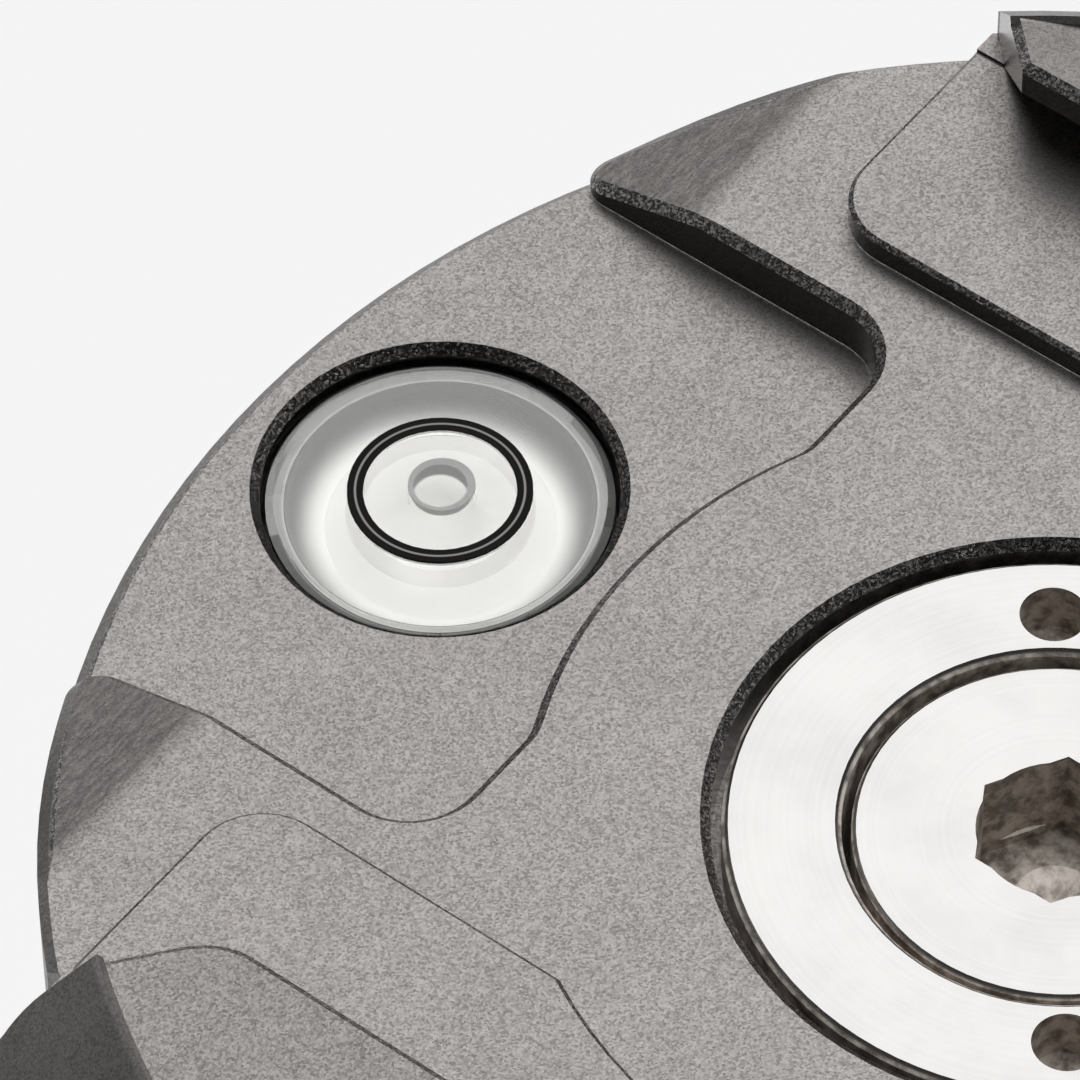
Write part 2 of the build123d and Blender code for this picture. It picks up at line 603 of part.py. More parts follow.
def bevel_cut(sketch, depth):
    """Pocket of a given depth below the deck, with a bevelled upper edge."""
    pocket = extrude(Plane.XY.offset(-depth) * sketch, depth + 1)
    return pocket + extrude(Plane.XY.offset(-EDGE_BEVEL) * sketch, EDGE_BEVEL + 0.3, taper=-45)


def pocket_sketch():
    """Outline of the level pocket: open at the rim, with the boss bulging in at its inner end."""
    length = CLAMP_R + 4 - POCKET_START
    outline = Pos(-POCKET_START - length / 2, 0) * Rectangle(length, 2 * POCKET_HALF_W)
    inner = outline.vertices().group_by(Axis.X)[-1]
    outline = fillet(inner, POCKET_CORNER_R) - Circle(POCKET_ARC_R)
    straight_end = POCKET_HALF_W - POCKET_CORNER_R
    front = [vertex for vertex in outline.vertices() if abs(vertex.X + POCKET_START) < 0.01]
    joins = [vertex for vertex in front if abs(vertex.Y) < straight_end - 0.01]
    return fillet(joins, POCKET_BLEND_R)


def plate_sketch():
    """Outline of the plate's upper layer, with the corners between pocket and rim rounded."""
    plan = Circle(CLAMP_R) - pocket_sketch()
    at_rim = [v for v in plan.vertices() if abs(hypot(v.X, v.Y) - CLAMP_R) < 0.01]
    return fillet([v for v in at_rim if v.X < 0 and abs(v.Y) < POCKET_HALF_W + 0.1], MOUTH_CORNER_R)


def pad_sketch():
    """Outline of the raised pad under the plate's +Y edge."""
    outer = PLATE_HALF + 3
    outline = Pos(0, (PAD_INNER + outer) / 2) * Rectangle(2 * PAD_END, outer - PAD_INNER)
    outline = fillet(outline.vertices().group_by(Axis.Y)[0], PAD_CORNER_R)
    return outline - Circle(PAD_ARC_R)


def jaw_outline(outer_r, tip_inset, corner_r, nose_r):
    """Plan of a jaw's overhanging part on the +Y side: lip, end walls at 45 degrees and rounded corners."""
    tip = PAD_END - tip_inset
    side_start = LIP_HALF + tip_inset
    outline = make_face(Polyline(
        (-tip, LIP_HALF), (tip, LIP_HALF), (PAD_END, side_start), (PAD_END, outer_r),
        (-PAD_END, outer_r), (-PAD_END, side_start), close=True))
    levels = outline.vertices().group_by(Axis.Y)
    outline = fillet(levels[1], corner_r)
    if nose_r > 0:
        outline = fillet(outline.vertices().group_by(Axis.Y)[0], nose_r)
    return outline


def jaw_hook(outer_r, crest_r, tip_inset, corner_r, nose_r):
    """Overhanging part of a jaw on the +Y side: a sloping top inside a low crest, above a 45 degree flank."""
    plan = extrude(jaw_outline(outer_r, tip_inset, corner_r, nose_r), JAW_TOP + 1)
    flank = [(PLATE_HALF, PAD_H), (LIP_HALF, PAD_H + LIP_DEPTH)]
    slope = [(LIP_HALF, LIP_TOP), (LIP_HALF + LIP_BEVEL, JAW_TOP), (crest_r, JAW_TOP - JAW_TOP_DROP)]
    section = make_face(Plane.YZ * Polyline((crest_r, PAD_H), *flank, *slope, close=True))
    sloping = extrude(section, PAD_END + 1, both=True) & plan
    top = [face for face in sloping.faces() if face.normal_at(face.center()).Z > 0.9][0]
    sloping = chamfer([edge for edge in top.edges() if abs(edge.center().X) > 1], LIP_BEVEL)
    level = [(LIP_HALF, JAW_CREST_H), (outer_r, JAW_CREST_H)]
    section = make_face(Plane.YZ * Polyline((outer_r, PAD_H), *flank, *level, close=True))
    crested = extrude(section, PAD_END + 1, both=True) & plan
    inner = crest_r - JAW_CREST_BEVEL
    outer = crest_r + JAW_CREST_BEVEL
    inside = turned((0, -1), (inner, -1), (inner, JAW_CREST_H - JAW_CREST_BEVEL),
                    (outer, JAW_CREST_H + JAW_CREST_BEVEL), (0, JAW_TOP + 1))
    return (sloping & inside) + (crested - inside)


def jaw_envelope(outer_r, crest_r, bottom):
    """Turned outer shape of a jaw: wall, 45 degree facet and top."""
    facet_bottom = JAW_CREST_H - (outer_r - crest_r)
    return turned((0, bottom), (outer_r - JAW_FOOT_BEVEL, bottom), (outer_r, bottom + JAW_FOOT_BEVEL),
                  (outer_r, facet_bottom), (crest_r - 0.5, JAW_CREST_H + 0.5), (0, JAW_CREST_H + 0.5))


def clamp_screw_line(solid):
    """Lays a solid that stands on the origin out along -Y at the clamp screw's height."""
    return along_radius(solid, 270, CLAMP_SCREW_Z)


def pin_lines(solid):
    """Copies of a solid on the two guide pins' axes."""
    return [Pos(side * PIN_SPAN, 0, 0) * clamp_screw_line(solid) for side in (-1, 1)]


def end_facets():
    """Long bar whose upper side is the deck with a sloping facet at each end."""
    far = 2 * CLAMP_R
    drop = tan(radians(FACET_ANGLE)) * (far - FACET_START)
    roof = Polyline((-far, -drop), (-FACET_START, 0), (FACET_START, 0), (far, -drop),
                    (far, -far), (-far, -far), close=True)
    return extrude(Plane.XZ * make_face(roof), far, both=True)


def on_fold(edge):
    """True for an edge along Y where a facet meets the deck."""
    middle = edge @ 0.5
    along_y = abs((edge @ 0).X - (edge @ 1).X) < 0.01
    return along_y and abs(abs(middle.X) - FACET_START) < 0.01 and middle.Z > -0.01


def make_upper_layer():
    """Deck and end facets, open at the pocket, with bevelled edges and soft folds."""
    layer = extrude(Plane.XY.offset(-RIM_LAND) * plate_sketch(), RIM_LAND) & end_facets()
    upper = [face for face in layer.faces() if face.normal_at(face.center()).Z > 0.5]
    edges = {edge for face in upper for edge in face.edges() if not on_fold(edge)}
    layer = chamfer(edges, EDGE_BEVEL)
    return fillet([edge for edge in layer.edges() if on_fold(edge)], FACET_BLEND_R)


def make_pocket_floor():
    """Floor of the level pocket out to the rim, with its bevel there."""
    disc = turned((0, -RIM_LAND), (CLAMP_R, -RIM_LAND), (CLAMP_R, POCKET_FLOOR - MOUTH_BEVEL),
                  (CLAMP_R - MOUTH_BEVEL, POCKET_FLOOR), (0, POCKET_FLOOR))
    length = CLAMP_R - POCKET_START + 2
    width = 2 * (POCKET_HALF_W + MOUTH_CORNER_R + 0.5)
    return disc & block(length, width, -RIM_LAND, 0, 1 - POCKET_START - length / 2)


def jaw_root(top):
    """Block under the fixed jaw, from the plate's flank out past the rim."""
    depth = CLAMP_R + 1 - PLATE_HALF
    return block(2 * PAD_END, depth, -RIM_LAND, top, 0, PLATE_HALF + depth / 2)


def make_fixed_jaw():
    jaw = jaw_root(PAD_H) + jaw_hook(CLAMP_R + 1, JAW_CREST_R, JAW_TIP_INSET, JAW_CORNER_R, 0)
    return jaw & jaw_envelope(CLAMP_R, JAW_CREST_R, -RIM_LAND - 2 * JAW_FOOT_BEVEL)


def make_pad():
    pad = extrude(pad_sketch(), PAD_H)
    pad = chamfer(pad.faces().sort_by(Axis.Z)[-1].edges(), PAD_BEVEL)
    return pad & block(2 * CLAMP_R, PLATE_HALF, -1, PAD_H, 0, PLATE_HALF / 2)


def make_clamp_base():
    body = turned(
        (0, -RIM_LAND), (CLAMP_R, -RIM_LAND), (CLAMP_BOTTOM_R, -CLAMP_T),
        (CLAMP_HUB_ROOT_R, -CLAMP_T), (CLAMP_HUB_R, -CLAMP_HUB_T), (0, -CLAMP_HUB_T))
    body += make_upper_layer() - jaw_root(1) + make_fixed_jaw()
    body += make_pocket_floor()
    pad = make_pad()
    body += pad
    body += mirror(pad, Plane.XZ)
    body -= block(2 * CLAMP_R, 2 * CLAMP_R, -CLAMP_HUB_T - 1, JAW_TOP + 1, 0, -PLATE_HALF - CLAMP_R)
    body -= block(2 * CLAMP_R, ROOT_GROOVE_W, PAD_H - ROOT_GROOVE_T, PAD_H + ROOT_GROOVE_T, 0, PLATE_HALF)
    body -= bevel_cut(Circle(COUNTERBORE_R), COUNTERBORE_T)
    body -= column(NUT_THREAD_R + SEAT_GAP, CAVITY_FLOOR, 0)
    body -= column(SPINDLE_NECK_R + RUN, -CLAMP_HUB_T - 1, 0)
    body -= Pos(-LEVEL_X, 0, POCKET_FLOOR) * bevel_cut(Circle(LEVEL_BORE_R), LEVEL_DEPTH)
    body -= clamp_screw_line(column(CLAMP_SCREW_R + RUN, CLAMP_SCREW_TIP - 0.8, CLAMP_R))
    for hole in pin_lines(column(PIN_R + SEAT_GAP, PLATE_HALF - PIN_DEPTH, CLAMP_R)):
        body -= hole
    spring_room = JAW_SPRING_R + SPRING_WIRE_R + 0.15
    for pocket in pin_lines(column(spring_room, PLATE_HALF - JAW_SPRING_POCKET, CLAMP_R)):
        body -= pocket
    body += along_radius(column(CLAMP_LOCK_SEAT_R, CLAMP_R - 3, CLAMP_LOCK_SEAT_END), 0, CLAMP_LOCK_DROP)
    bore = radial_lock_bore(SPINDLE_FLANGE_R, CLAMP_LOCK_PAD_L, CLAMP_LOCK_SCREW_R, CLAMP_R)
    return body - along_radius(bore, 0, CLAMP_LOCK_DROP)


def make_moving_jaw():
    depth = MOVING_JAW_R - PLATE_HALF
    body = block(2 * PAD_END, depth, -MOVING_JAW_BOTTOM, PAD_H, 0, PLATE_HALF + depth / 2)
    hook = jaw_hook(MOVING_JAW_R + 1, MOVING_CREST_R, MOVING_TIP_INSET, MOVING_CORNER_R, JAW_NOSE_R)
    jaw = (body + hook) & jaw_envelope(MOVING_JAW_R, MOVING_CREST_R, -MOVING_JAW_BOTTOM)
    flat = block(2 * PAD_END, depth, -MOVING_JAW_BOTTOM - 1, PAD_H, 0, CLAMP_FACE - JAW_OPEN + depth / 2)
    jaw -= flat & along_radius(column(CLAMP_KNOB_R + CLAMP_KNOB_ROOM, 0, 2 * MOVING_JAW_R), 90, CLAMP_SCREW_Z)
    jaw -= along_radius(column(CLAMP_SCREW_R + JAW_SCREW_PLAY, 0, 2 * MOVING_JAW_R), 90, CLAMP_SCREW_Z)
    for side in (-1, 1):
        jaw -= Pos(side * PIN_SPAN, 0, 0) * along_radius(
            column(PIN_R + RUN, 0, PLATE_HALF + PIN_REACH + 0.2), 90, CLAMP_SCREW_Z)
    return Pos(0, -JAW_OPEN, 0) * Rot(0, 0, 180) * jaw


def make_ring_nut():
    nut = turned(
        (NUT_BORE_R, NUT_BOTTOM), (NUT_THREAD_R, NUT_BOTTOM), (NUT_THREAD_R, -NUT_RECESS - NUT_FLANGE_T),
        (NUT_R, -NUT_RECESS - NUT_FLANGE_T), (NUT_R, -NUT_RECESS - NUT_EDGE), (NUT_R - NUT_EDGE, -NUT_RECESS),
        (NUT_BORE_R + NUT_EDGE, -NUT_RECESS), (NUT_BORE_R, -NUT_RECESS - NUT_EDGE))
    hole = column(SPANNER_HOLE_R, -NUT_RECESS - SPANNER_DEPTH, 1, SPANNER_CIRCLE_R)
    for azimuth in (SPANNER_AZIMUTH, SPANNER_AZIMUTH + 180):
        nut -= Rot(0, 0, azimuth) * hole
    return nut


def make_centre_screw():
    top = -HEAD_RECESS
    screw = turned(
        (0, SPINDLE_TOP - SCREW_L), (SCREW_R, SPINDLE_TOP - SCREW_L), (SCREW_R, SPINDLE_TOP),
        (HEAD_R, SPINDLE_TOP), (HEAD_R, top - HEAD_EDGE), (HEAD_R - HEAD_EDGE, top), (0, top))
    corner_r = HEX_ACROSS_FLATS / sqrt(3)
    screw -= extrude(Plane.XY.offset(top - HEX_DEPTH) * RegularPolygon(corner_r, 6), HEX_DEPTH + 1)
    drill_r = HEX_ACROSS_FLATS / 2 + 0.1
    return screw - turned((0, top - HEX_DEPTH - HEX_CONE), (drill_r, top - HEX_DEPTH + HEX_CONE),
                          (drill_r, top + 1), (0, top + 1))


def make_clamp_spindle():
    spindle = turned(
        (SCREW_R + 0.2, -CLAMP_HUB_T - CLAMP_GAP), (SPINDLE_NECK_R, -CLAMP_HUB_T - CLAMP_GAP),
        (SPINDLE_NECK_R, SPINDLE_FLANGE_BOTTOM), (SPINDLE_FLANGE_R, SPINDLE_FLANGE_BOTTOM),
        (SPINDLE_FLANGE_R, SPINDLE_TOP), (SCREW_R + 0.2, SPINDLE_TOP))
    return spindle


def make_spindle_lower_washer():
    top = SPINDLE_FLANGE_BOTTOM - RUN
    return tube(SPINDLE_FLANGE_R, SPINDLE_NECK_R + 0.1, top - SPINDLE_WASHER_T, top)


def make_spindle_upper_washer():
    bottom = SPINDLE_TOP + RUN
    return tube(SPINDLE_FLANGE_R, HEAD_R + 0.3, bottom, bottom + SPINDLE_WASHER_T)


def make_level_cup():
    cup = column(LEVEL_R, LEVEL_BOTTOM + SEAT_GAP, LENS_BOTTOM - SEAT_GAP)
    return cup - column(LEVEL_R - CUP_WALL, LEVEL_BOTTOM + LEVEL_FLOOR_T, LENS_BOTTOM)


def make_level_floor():
    bottom = LEVEL_BOTTOM + LEVEL_FLOOR_T + SEAT_GAP
    return column(LEVEL_R - CUP_WALL - SEAT_GAP, bottom, bottom + LEVEL_CARD_T)


def make_level_fluid():
    bottom = LEVEL_BOTTOM + LEVEL_FLOOR_T + LEVEL_CARD_T + 2 * SEAT_GAP
    fluid = column(LEVEL_R - CUP_WALL - SEAT_GAP, bottom, LENS_BOTTOM - SEAT_GAP)
    return fluid - column(BUBBLE_R + SEAT_GAP, LENS_BOTTOM - BUBBLE_T - SEAT_GAP, 0, BUBBLE_X, BUBBLE_Y)


def make_level_bubble():
    disc = column(BUBBLE_R, LENS_BOTTOM - BUBBLE_T, LENS_BOTTOM - SEAT_GAP, BUBBLE_X, BUBBLE_Y)
    return fillet(disc.edges().filter_by(GeomType.CIRCLE).group_by(Axis.Z)[0], BUBBLE_EDGE_R)


def dome_height(radius):
    """Height of the lens's domed top at a distance from its axis."""
    edge_r = LEVEL_R - LENS_EDGE
    dome_r = (edge_r ** 2 + LENS_CROWN ** 2) / (2 * LENS_CROWN)
    return LENS_EDGE_TOP + LENS_CROWN - dome_r + sqrt(dome_r ** 2 - radius ** 2)


def mark_ring(play, top):
    """Ring in the lens's top, with some play round it."""
    inner = MARK_R - MARK_W - play
    return tube(MARK_R + play, inner, dome_height(MARK_R) - MARK_T - play, top)


def make_level_mark():
    return mark_ring(0, dome_height(MARK_R - MARK_W) + MARK_PROUD)


def make_level_lens():
    edge_r = LEVEL_R - LENS_EDGE
    dome_r = (edge_r ** 2 + LENS_CROWN ** 2) / (2 * LENS_CROWN)
    crown = LENS_EDGE_TOP + LENS_CROWN
    dome = column(edge_r, LENS_EDGE_TOP - 0.05, crown) & (Pos(0, 0, crown - dome_r) * Sphere(dome_r))
    puck = turned((0, LENS_BOTTOM), (LEVEL_R, LENS_BOTTOM), (LEVEL_R, LENS_EDGE_TOP - LENS_EDGE),
                  (edge_r, LENS_EDGE_TOP), (0, LENS_EDGE_TOP))
    return puck + dome - mark_ring(SEAT_GAP / 2, crown + 1)


def in_level(solid):
    """Moves a level piece to its bore."""
    return Pos(-LEVEL_X, 0, 0) * solid


def make_clamp_screw():
    start = CLAMP_FACE + CLAMP_WASHER_T + CLAMP_KNOB_GAP
    return clamp_screw_line(column(CLAMP_SCREW_R, CLAMP_SCREW_TIP, start + 0.7 * CLAMP_KNOB_L))


def make_clamp_knob_washer():
    start = CLAMP_FACE + CLAMP_KNOB_GAP / 2
    return clamp_screw_line(tube(CLAMP_WASHER_R, CLAMP_SCREW_R + SEAT_GAP, start, start + CLAMP_WASHER_T))


def clamp_knob_start():
    """Distance of the clamp knob's inner face from the axis."""
    return CLAMP_FACE + CLAMP_WASHER_T + CLAMP_KNOB_GAP


def make_clamp_knob():
    start = clamp_knob_start()
    end = start + CLAMP_KNOB_L
    body = chamfer(column(CLAMP_KNOB_R, start, end).edges(), 0.6)
    grip = start + CLAMP_GRIP_START
    body -= column(CLAMP_KNOB_R + 1, grip, grip + CLAMP_GRIP_L) - column(
        CLAMP_KNOB_R - CLAMP_GRIP_T, grip - 1, grip + CLAMP_GRIP_L + 1)
    body -= column(CLAMP_SCREW_R + SEAT_GAP, start - 1, start + 0.7 * CLAMP_KNOB_L + SEAT_GAP)
    body -= column(CLAMP_KNOB_R - 3, end - 0.5, end + 1)
    return clamp_screw_line(body)


def make_clamp_knob_grip():
    start = clamp_knob_start() + CLAMP_GRIP_START + SEAT_GAP
    length = CLAMP_GRIP_L - 2 * SEAT_GAP
    ring = Pos(0, 0, start) * knob(CLAMP_KNOB_R + 0.6, length, 16, 0.5, 0.35)
    ring -= column(CLAMP_KNOB_R - CLAMP_GRIP_T + SEAT_GAP, start - 1, start + length + 1)
    return clamp_screw_line(ring)


def make_jaw_guide_pins():
    pin = column(PIN_R, PLATE_HALF - PIN_DEPTH + 0.1, PLATE_HALF + PIN_REACH)
    return Compound(children=pin_lines(chamfer(pin.edges(), 0.2)))


def make_jaw_springs():
    length = JAW_SPRING_POCKET + JAW_STOP - 0.1
    coil = spring(JAW_SPRING_R, SPRING_WIRE_R, JAW_SPRING_PITCH, length)
    return Compound(children=pin_lines(Pos(0, 0, PLATE_HALF - JAW_SPRING_POCKET + 0.05) * coil))


def clamp_lock():
    """Pad, screw and knob that lock the clamp's panning spindle."""
    pieces = radial_lock(SPINDLE_FLANGE_R, CLAMP_LOCK_PAD_L, CLAMP_LOCK_SCREW_R, CLAMP_LOCK_SEAT_END,
                         CLAMP_LOCK_KNOB_R, CLAMP_LOCK_KNOB_L)
    return [along_radius(piece, 0, CLAMP_LOCK_DROP) for piece in pieces]


# ---------------------------------------------------------------- assembly

def lower_pieces():
    pan_pad, pan_screw, pan_head = pan_lock()
    friction_pad, friction_screw, friction_head = friction_lock()
    return {
        "base_plate": make_base_plate(), "thread_bush": make_thread_bush(), "pan_flange": make_pan_flange(),
        "pan_flange_screws": make_pan_flange_screws(), "pan_lower_washer": make_pan_lower_washer(),
        "pan_upper_washer": make_pan_upper_washer(), "pan_ring": make_pan_ring(), "housing": make_housing(),
        "housing_floor": make_housing_floor(),
        "upper_race": make_upper_race(), "ball_cup": make_ball_cup(), "lock_wedge": make_lock_wedge(),
        "wedge_spring": make_wedge_spring(), "lock_screw": make_lock_screw(), "lock_knob": make_lock_knob(),
        "lock_knob_grip": make_lock_knob_grip(), "lock_knob_cap": make_lock_knob_cap(),
        "pan_lock_pad": pan_pad, "pan_lock_screw": pan_screw, "pan_knob": pan_head,
        "friction_pad": friction_pad, "friction_screw": friction_screw, "friction_knob": friction_head,
        "ball_stem": make_ball_stem()}


def clamp_pieces():
    lock_pad, lock_screw, lock_head = clamp_lock()
    level = {
        "level_cup": make_level_cup(), "level_floor": make_level_floor(), "level_fluid": make_level_fluid(),
        "level_bubble": make_level_bubble(), "level_mark": make_level_mark(), "level_lens": make_level_lens()}
    pieces = {
        "clamp_base": make_clamp_base(), "moving_jaw": make_moving_jaw(), "ring_nut": make_ring_nut(),
        "centre_screw": make_centre_screw(), "clamp_spindle": make_clamp_spindle(),
        "spindle_lower_washer": make_spindle_lower_washer(),
        "spindle_upper_washer": make_spindle_upper_washer(),
        "clamp_screw": make_clamp_screw(), "clamp_knob": make_clamp_knob(),
        "clamp_knob_grip": make_clamp_knob_grip(), "clamp_knob_washer": make_clamp_knob_washer(),
        "jaw_guide_pins": make_jaw_guide_pins(), "jaw_springs": make_jaw_springs(),
        "clamp_lock_pad": lock_pad, "clamp_lock_screw": lock_screw, "clamp_lock_knob": lock_head}
    pieces.update({node: in_level(solid) for node, solid in level.items()})
    return {node: Pos(0, 0, DECK_Z) * solid for node, solid in pieces.items()}


def main():
    os.makedirs("parts", exist_ok=True)
    for node, solid in {**lower_pieces(), **clamp_pieces()}.items():
        export_step(solid, f"parts/{node}.step")


main()
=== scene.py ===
import math

import bpy
import numpy as np
from bpy.props import FloatProperty, FloatVectorProperty, PointerProperty
from mathutils import Matrix, Vector


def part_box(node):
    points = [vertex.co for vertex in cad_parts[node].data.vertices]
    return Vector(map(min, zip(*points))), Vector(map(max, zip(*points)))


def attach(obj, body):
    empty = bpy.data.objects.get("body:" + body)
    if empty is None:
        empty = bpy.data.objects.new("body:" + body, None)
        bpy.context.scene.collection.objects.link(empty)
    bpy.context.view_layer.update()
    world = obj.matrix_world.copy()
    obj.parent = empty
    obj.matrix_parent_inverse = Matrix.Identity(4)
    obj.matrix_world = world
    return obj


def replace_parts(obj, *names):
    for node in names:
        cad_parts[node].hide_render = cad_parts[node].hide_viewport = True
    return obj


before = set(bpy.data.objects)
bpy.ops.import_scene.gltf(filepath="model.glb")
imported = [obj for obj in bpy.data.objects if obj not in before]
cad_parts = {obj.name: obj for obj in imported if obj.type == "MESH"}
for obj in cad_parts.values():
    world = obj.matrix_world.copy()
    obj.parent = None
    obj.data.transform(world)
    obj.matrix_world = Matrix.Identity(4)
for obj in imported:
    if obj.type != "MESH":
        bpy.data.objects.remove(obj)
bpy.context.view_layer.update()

bl_info = {
    "name": "Tripod ball head finishes",
    "version": (1, 0, 0),
    "blender": (4, 5, 0),
    "location": "3D View > Sidebar > Ball Head",
    "description": "Finishes and fine pieces of a tripod ball head with a round screw clamp",
    "category": "Object",
}

MM = 0.001
Y, Z = 1, 2                                    # places of two axes in a vector

# The clamp, in metres. Radii are taken from the part's upright axis, unless they say otherwise.
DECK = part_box("clamp_base")[0].z + 0.0098      # height of the plate's deck
CREST = DECK + 0.0033                          # height of the jaws' crests
POCKET_DEPTH = 0.0016                          # depth of the level's pocket below the deck
COUNTERBORE_EDGE = 0.0093                      # radius just outside the counterbore's bevel
FACET = (0.0184, 0.0199)                       # distances along x between which the end facets fade in
RIM_BEVEL = (0.0251, 0.02522)                  # radii between which the rim's bevel fades in
INSIDE_RIM = 0.0252                            # radius inside which no wall is the plate's rim
FIXED_CREST = (0.02385, 0.0)                   # radius of the fixed jaw's crest, and y of its centre
MOVING_CREST = (0.0243, -0.00032)              # the same of the moving jaw
WALL_DEPTH = 0.0024                            # depth below the deck down to which walls were cut smooth
CUTTER_R = 0.00005                             # height of the radius that a cutter leaves at a wall's foot
CUT_SMOOTHNESS = 0.72                          # share of the blasted roughness that cutting takes away
STAIN_TOP = 0.00005                            # depth below a steel part's top at which its holes are stained

# The bubble level. Its radii are taken from its own axis.
LEVEL_X = -0.01963                             # place of the level's axis along x
LEVEL_EDGE = 0.0051                            # radius just outside the bevel of the level's bore
CUP_SHADE_RING = (0.0041, 0.0045)                    # inner and outer radius of the painted shade round the cup's mouth
MARK_HIGHLIGHT = (0.00217, 0.00223)                 # inner and outer radius of the painted highlight in the mark
BOWL_FOOT, BOWL_TOP = 2.92 * MM, 4.02 * MM     # radius of the bowl at the floor and under the lens

# Knobs, scale and thread
MAIN_GRIP = {"outer": 11.5 * MM, "inner": 9.02 * MM, "lobes": 18, "depth": 0.66 * MM, "rib": 0.1 * MM,
             "edge": 0.5 * MM}
CLAMP_GRIP = {"outer": 8.2 * MM, "inner": 6.52 * MM, "lobes": 16, "depth": 0.48 * MM, "rib": 0.08 * MM,
              "edge": 0.35 * MM}
HOUSING_R = 24.0 * MM                          # radius of the housing's wall behind the index mark
PAINT_PROUD = 0.012 * MM                       # how far the scale's paint stands out of the wall
THREAD = {"major": 4.79 * MM, "minor": 4.05 * MM, "pitch": 1.5875 * MM, "start": 0.75 * MM, "turns": 5.1}

# Colours that the property groups don't hold
STEEL = (0.4, 0.39, 0.38, 1)
CAP_METAL = (0.42, 0.41, 0.4, 1)
INNER_METAL = (0.36, 0.355, 0.35, 1)
BALL_METAL = (0.17, 0.165, 0.16, 1)
BRASS = (0.5, 0.35, 0.14, 1)
STAINS = (0.2, 0.165, 0.14, 1), (0.72, 0.66, 0.6, 1)
WASHER = (0.6, 0.585, 0.54, 1)
SCALE_PAINT = (0.72, 0.72, 0.7, 1)
LEVEL_CARD = (0.46, 0.456, 0.447, 1)

# Stage
FLOOR_RINGS = ((0.0, 0.0), (0.4, 0.0), (1.5, 0.0), (3.0, 0.0), (3.6, 0.15), (3.8, 0.6))  # radius and height
KEY_FROM = (-0.12, 0.45, 0.885)                # direction that the key light comes from
CAMERA_PLACE = (0.07797, -0.12031, 0.18899)    # place of the camera, its height taken from the deck
CAMERA_RIGHT = (0.786927, 0.617046, 0)         # level direction to the camera's right
CAMERA_PITCH = 0.8939652                       # angle of the view below level, in radians
CAMERA_ROLL = -0.0111682                       # turn of the camera about its line of sight, in radians


# ------------------------------------------------------------------ sizes and colours

class HeadColours(bpy.types.PropertyGroup):
    """Colours and roughness of the finishes."""
    anodised: FloatVectorProperty(
        name="Anodised grey", description="Bead blasted aluminium of the clamp and the housing",
        subtype="COLOR", size=4, min=0, max=1, default=(0.18, 0.17, 0.164, 1))
    knob: FloatVectorProperty(
        name="Knob metal", description="Aluminium of the knobs", subtype="COLOR", size=4, min=0, max=1,
        default=(0.15, 0.142, 0.138, 1))
    stainless: FloatVectorProperty(
        name="Stainless steel", description="Ring nut and centre screw", subtype="COLOR", size=4, min=0,
        max=1, default=(0.34, 0.334, 0.328, 1))
    rubber: FloatVectorProperty(
        name="Rubber", description="Knob grips", subtype="COLOR", size=4, min=0, max=1,
        default=(0.022, 0.022, 0.023, 1))
    blast_grain: FloatProperty(
        name="Blast grain", description="Size of the grain left by bead blasting", subtype="DISTANCE",
        unit="LENGTH", min=1e-5, max=1e-3, default=0.000056)
    blast_roughness: FloatProperty(
        name="Blast roughness", description="Roughness of the blasted metal", subtype="FACTOR", min=0, max=1,
        default=0.42)


class HeadStage(bpy.types.PropertyGroup):
    """Floor, light and camera."""
    floor: FloatVectorProperty(
        name="Floor", description="Colour of the floor", subtype="COLOR", size=4, min=0, max=1,
        default=(0.93, 0.93, 0.935, 1))
    sky: FloatProperty(
        name="Sky", description="Brightness of the light from all sides", min=0, max=2, default=0.06)
    key: FloatProperty(
        name="Key light", description="Strength of the wide key light", min=0, max=20, default=3.2)
    key_width: FloatProperty(
        name="Key width", description="Angular width of the key light", subtype="ANGLE", unit="ROTATION",
        min=0, max=3.14, default=math.radians(76))
    lens: FloatProperty(
        name="Lens", description="Focal length of the camera", subtype="DISTANCE_CAMERA", min=10, max=1000,
        default=316.92)


# ------------------------------------------------------------------ shader expressions

class Wire:
    """A shader socket that can be used in Python expressions."""

    def __init__(self, finish, socket):
        self.finish = finish
        self.socket = socket

    def maths(self, operation, *values):
        return self.finish.node("ShaderNodeMath", {"operation": operation}, *values)

    def __add__(self, other):
        return self.maths("ADD", self, other)

    __radd__ = __add__

    def __sub__(self, other):
        return self.maths("SUBTRACT", self, other)

    def __rsub__(self, other):
        return self.maths("SUBTRACT", other, self)

    def __mul__(self, other):
        return self.maths("MULTIPLY", self, other)

    __rmul__ = __mul__

    def __pow__(self, other):
        return self.maths("POWER", self, other)

    def __gt__(self, other):
        return self.maths("GREATER_THAN", self, other)

    def __lt__(self, other):
        return self.maths("LESS_THAN", self, other)

    def __abs__(self):
        return self.maths("ABSOLUTE", self)


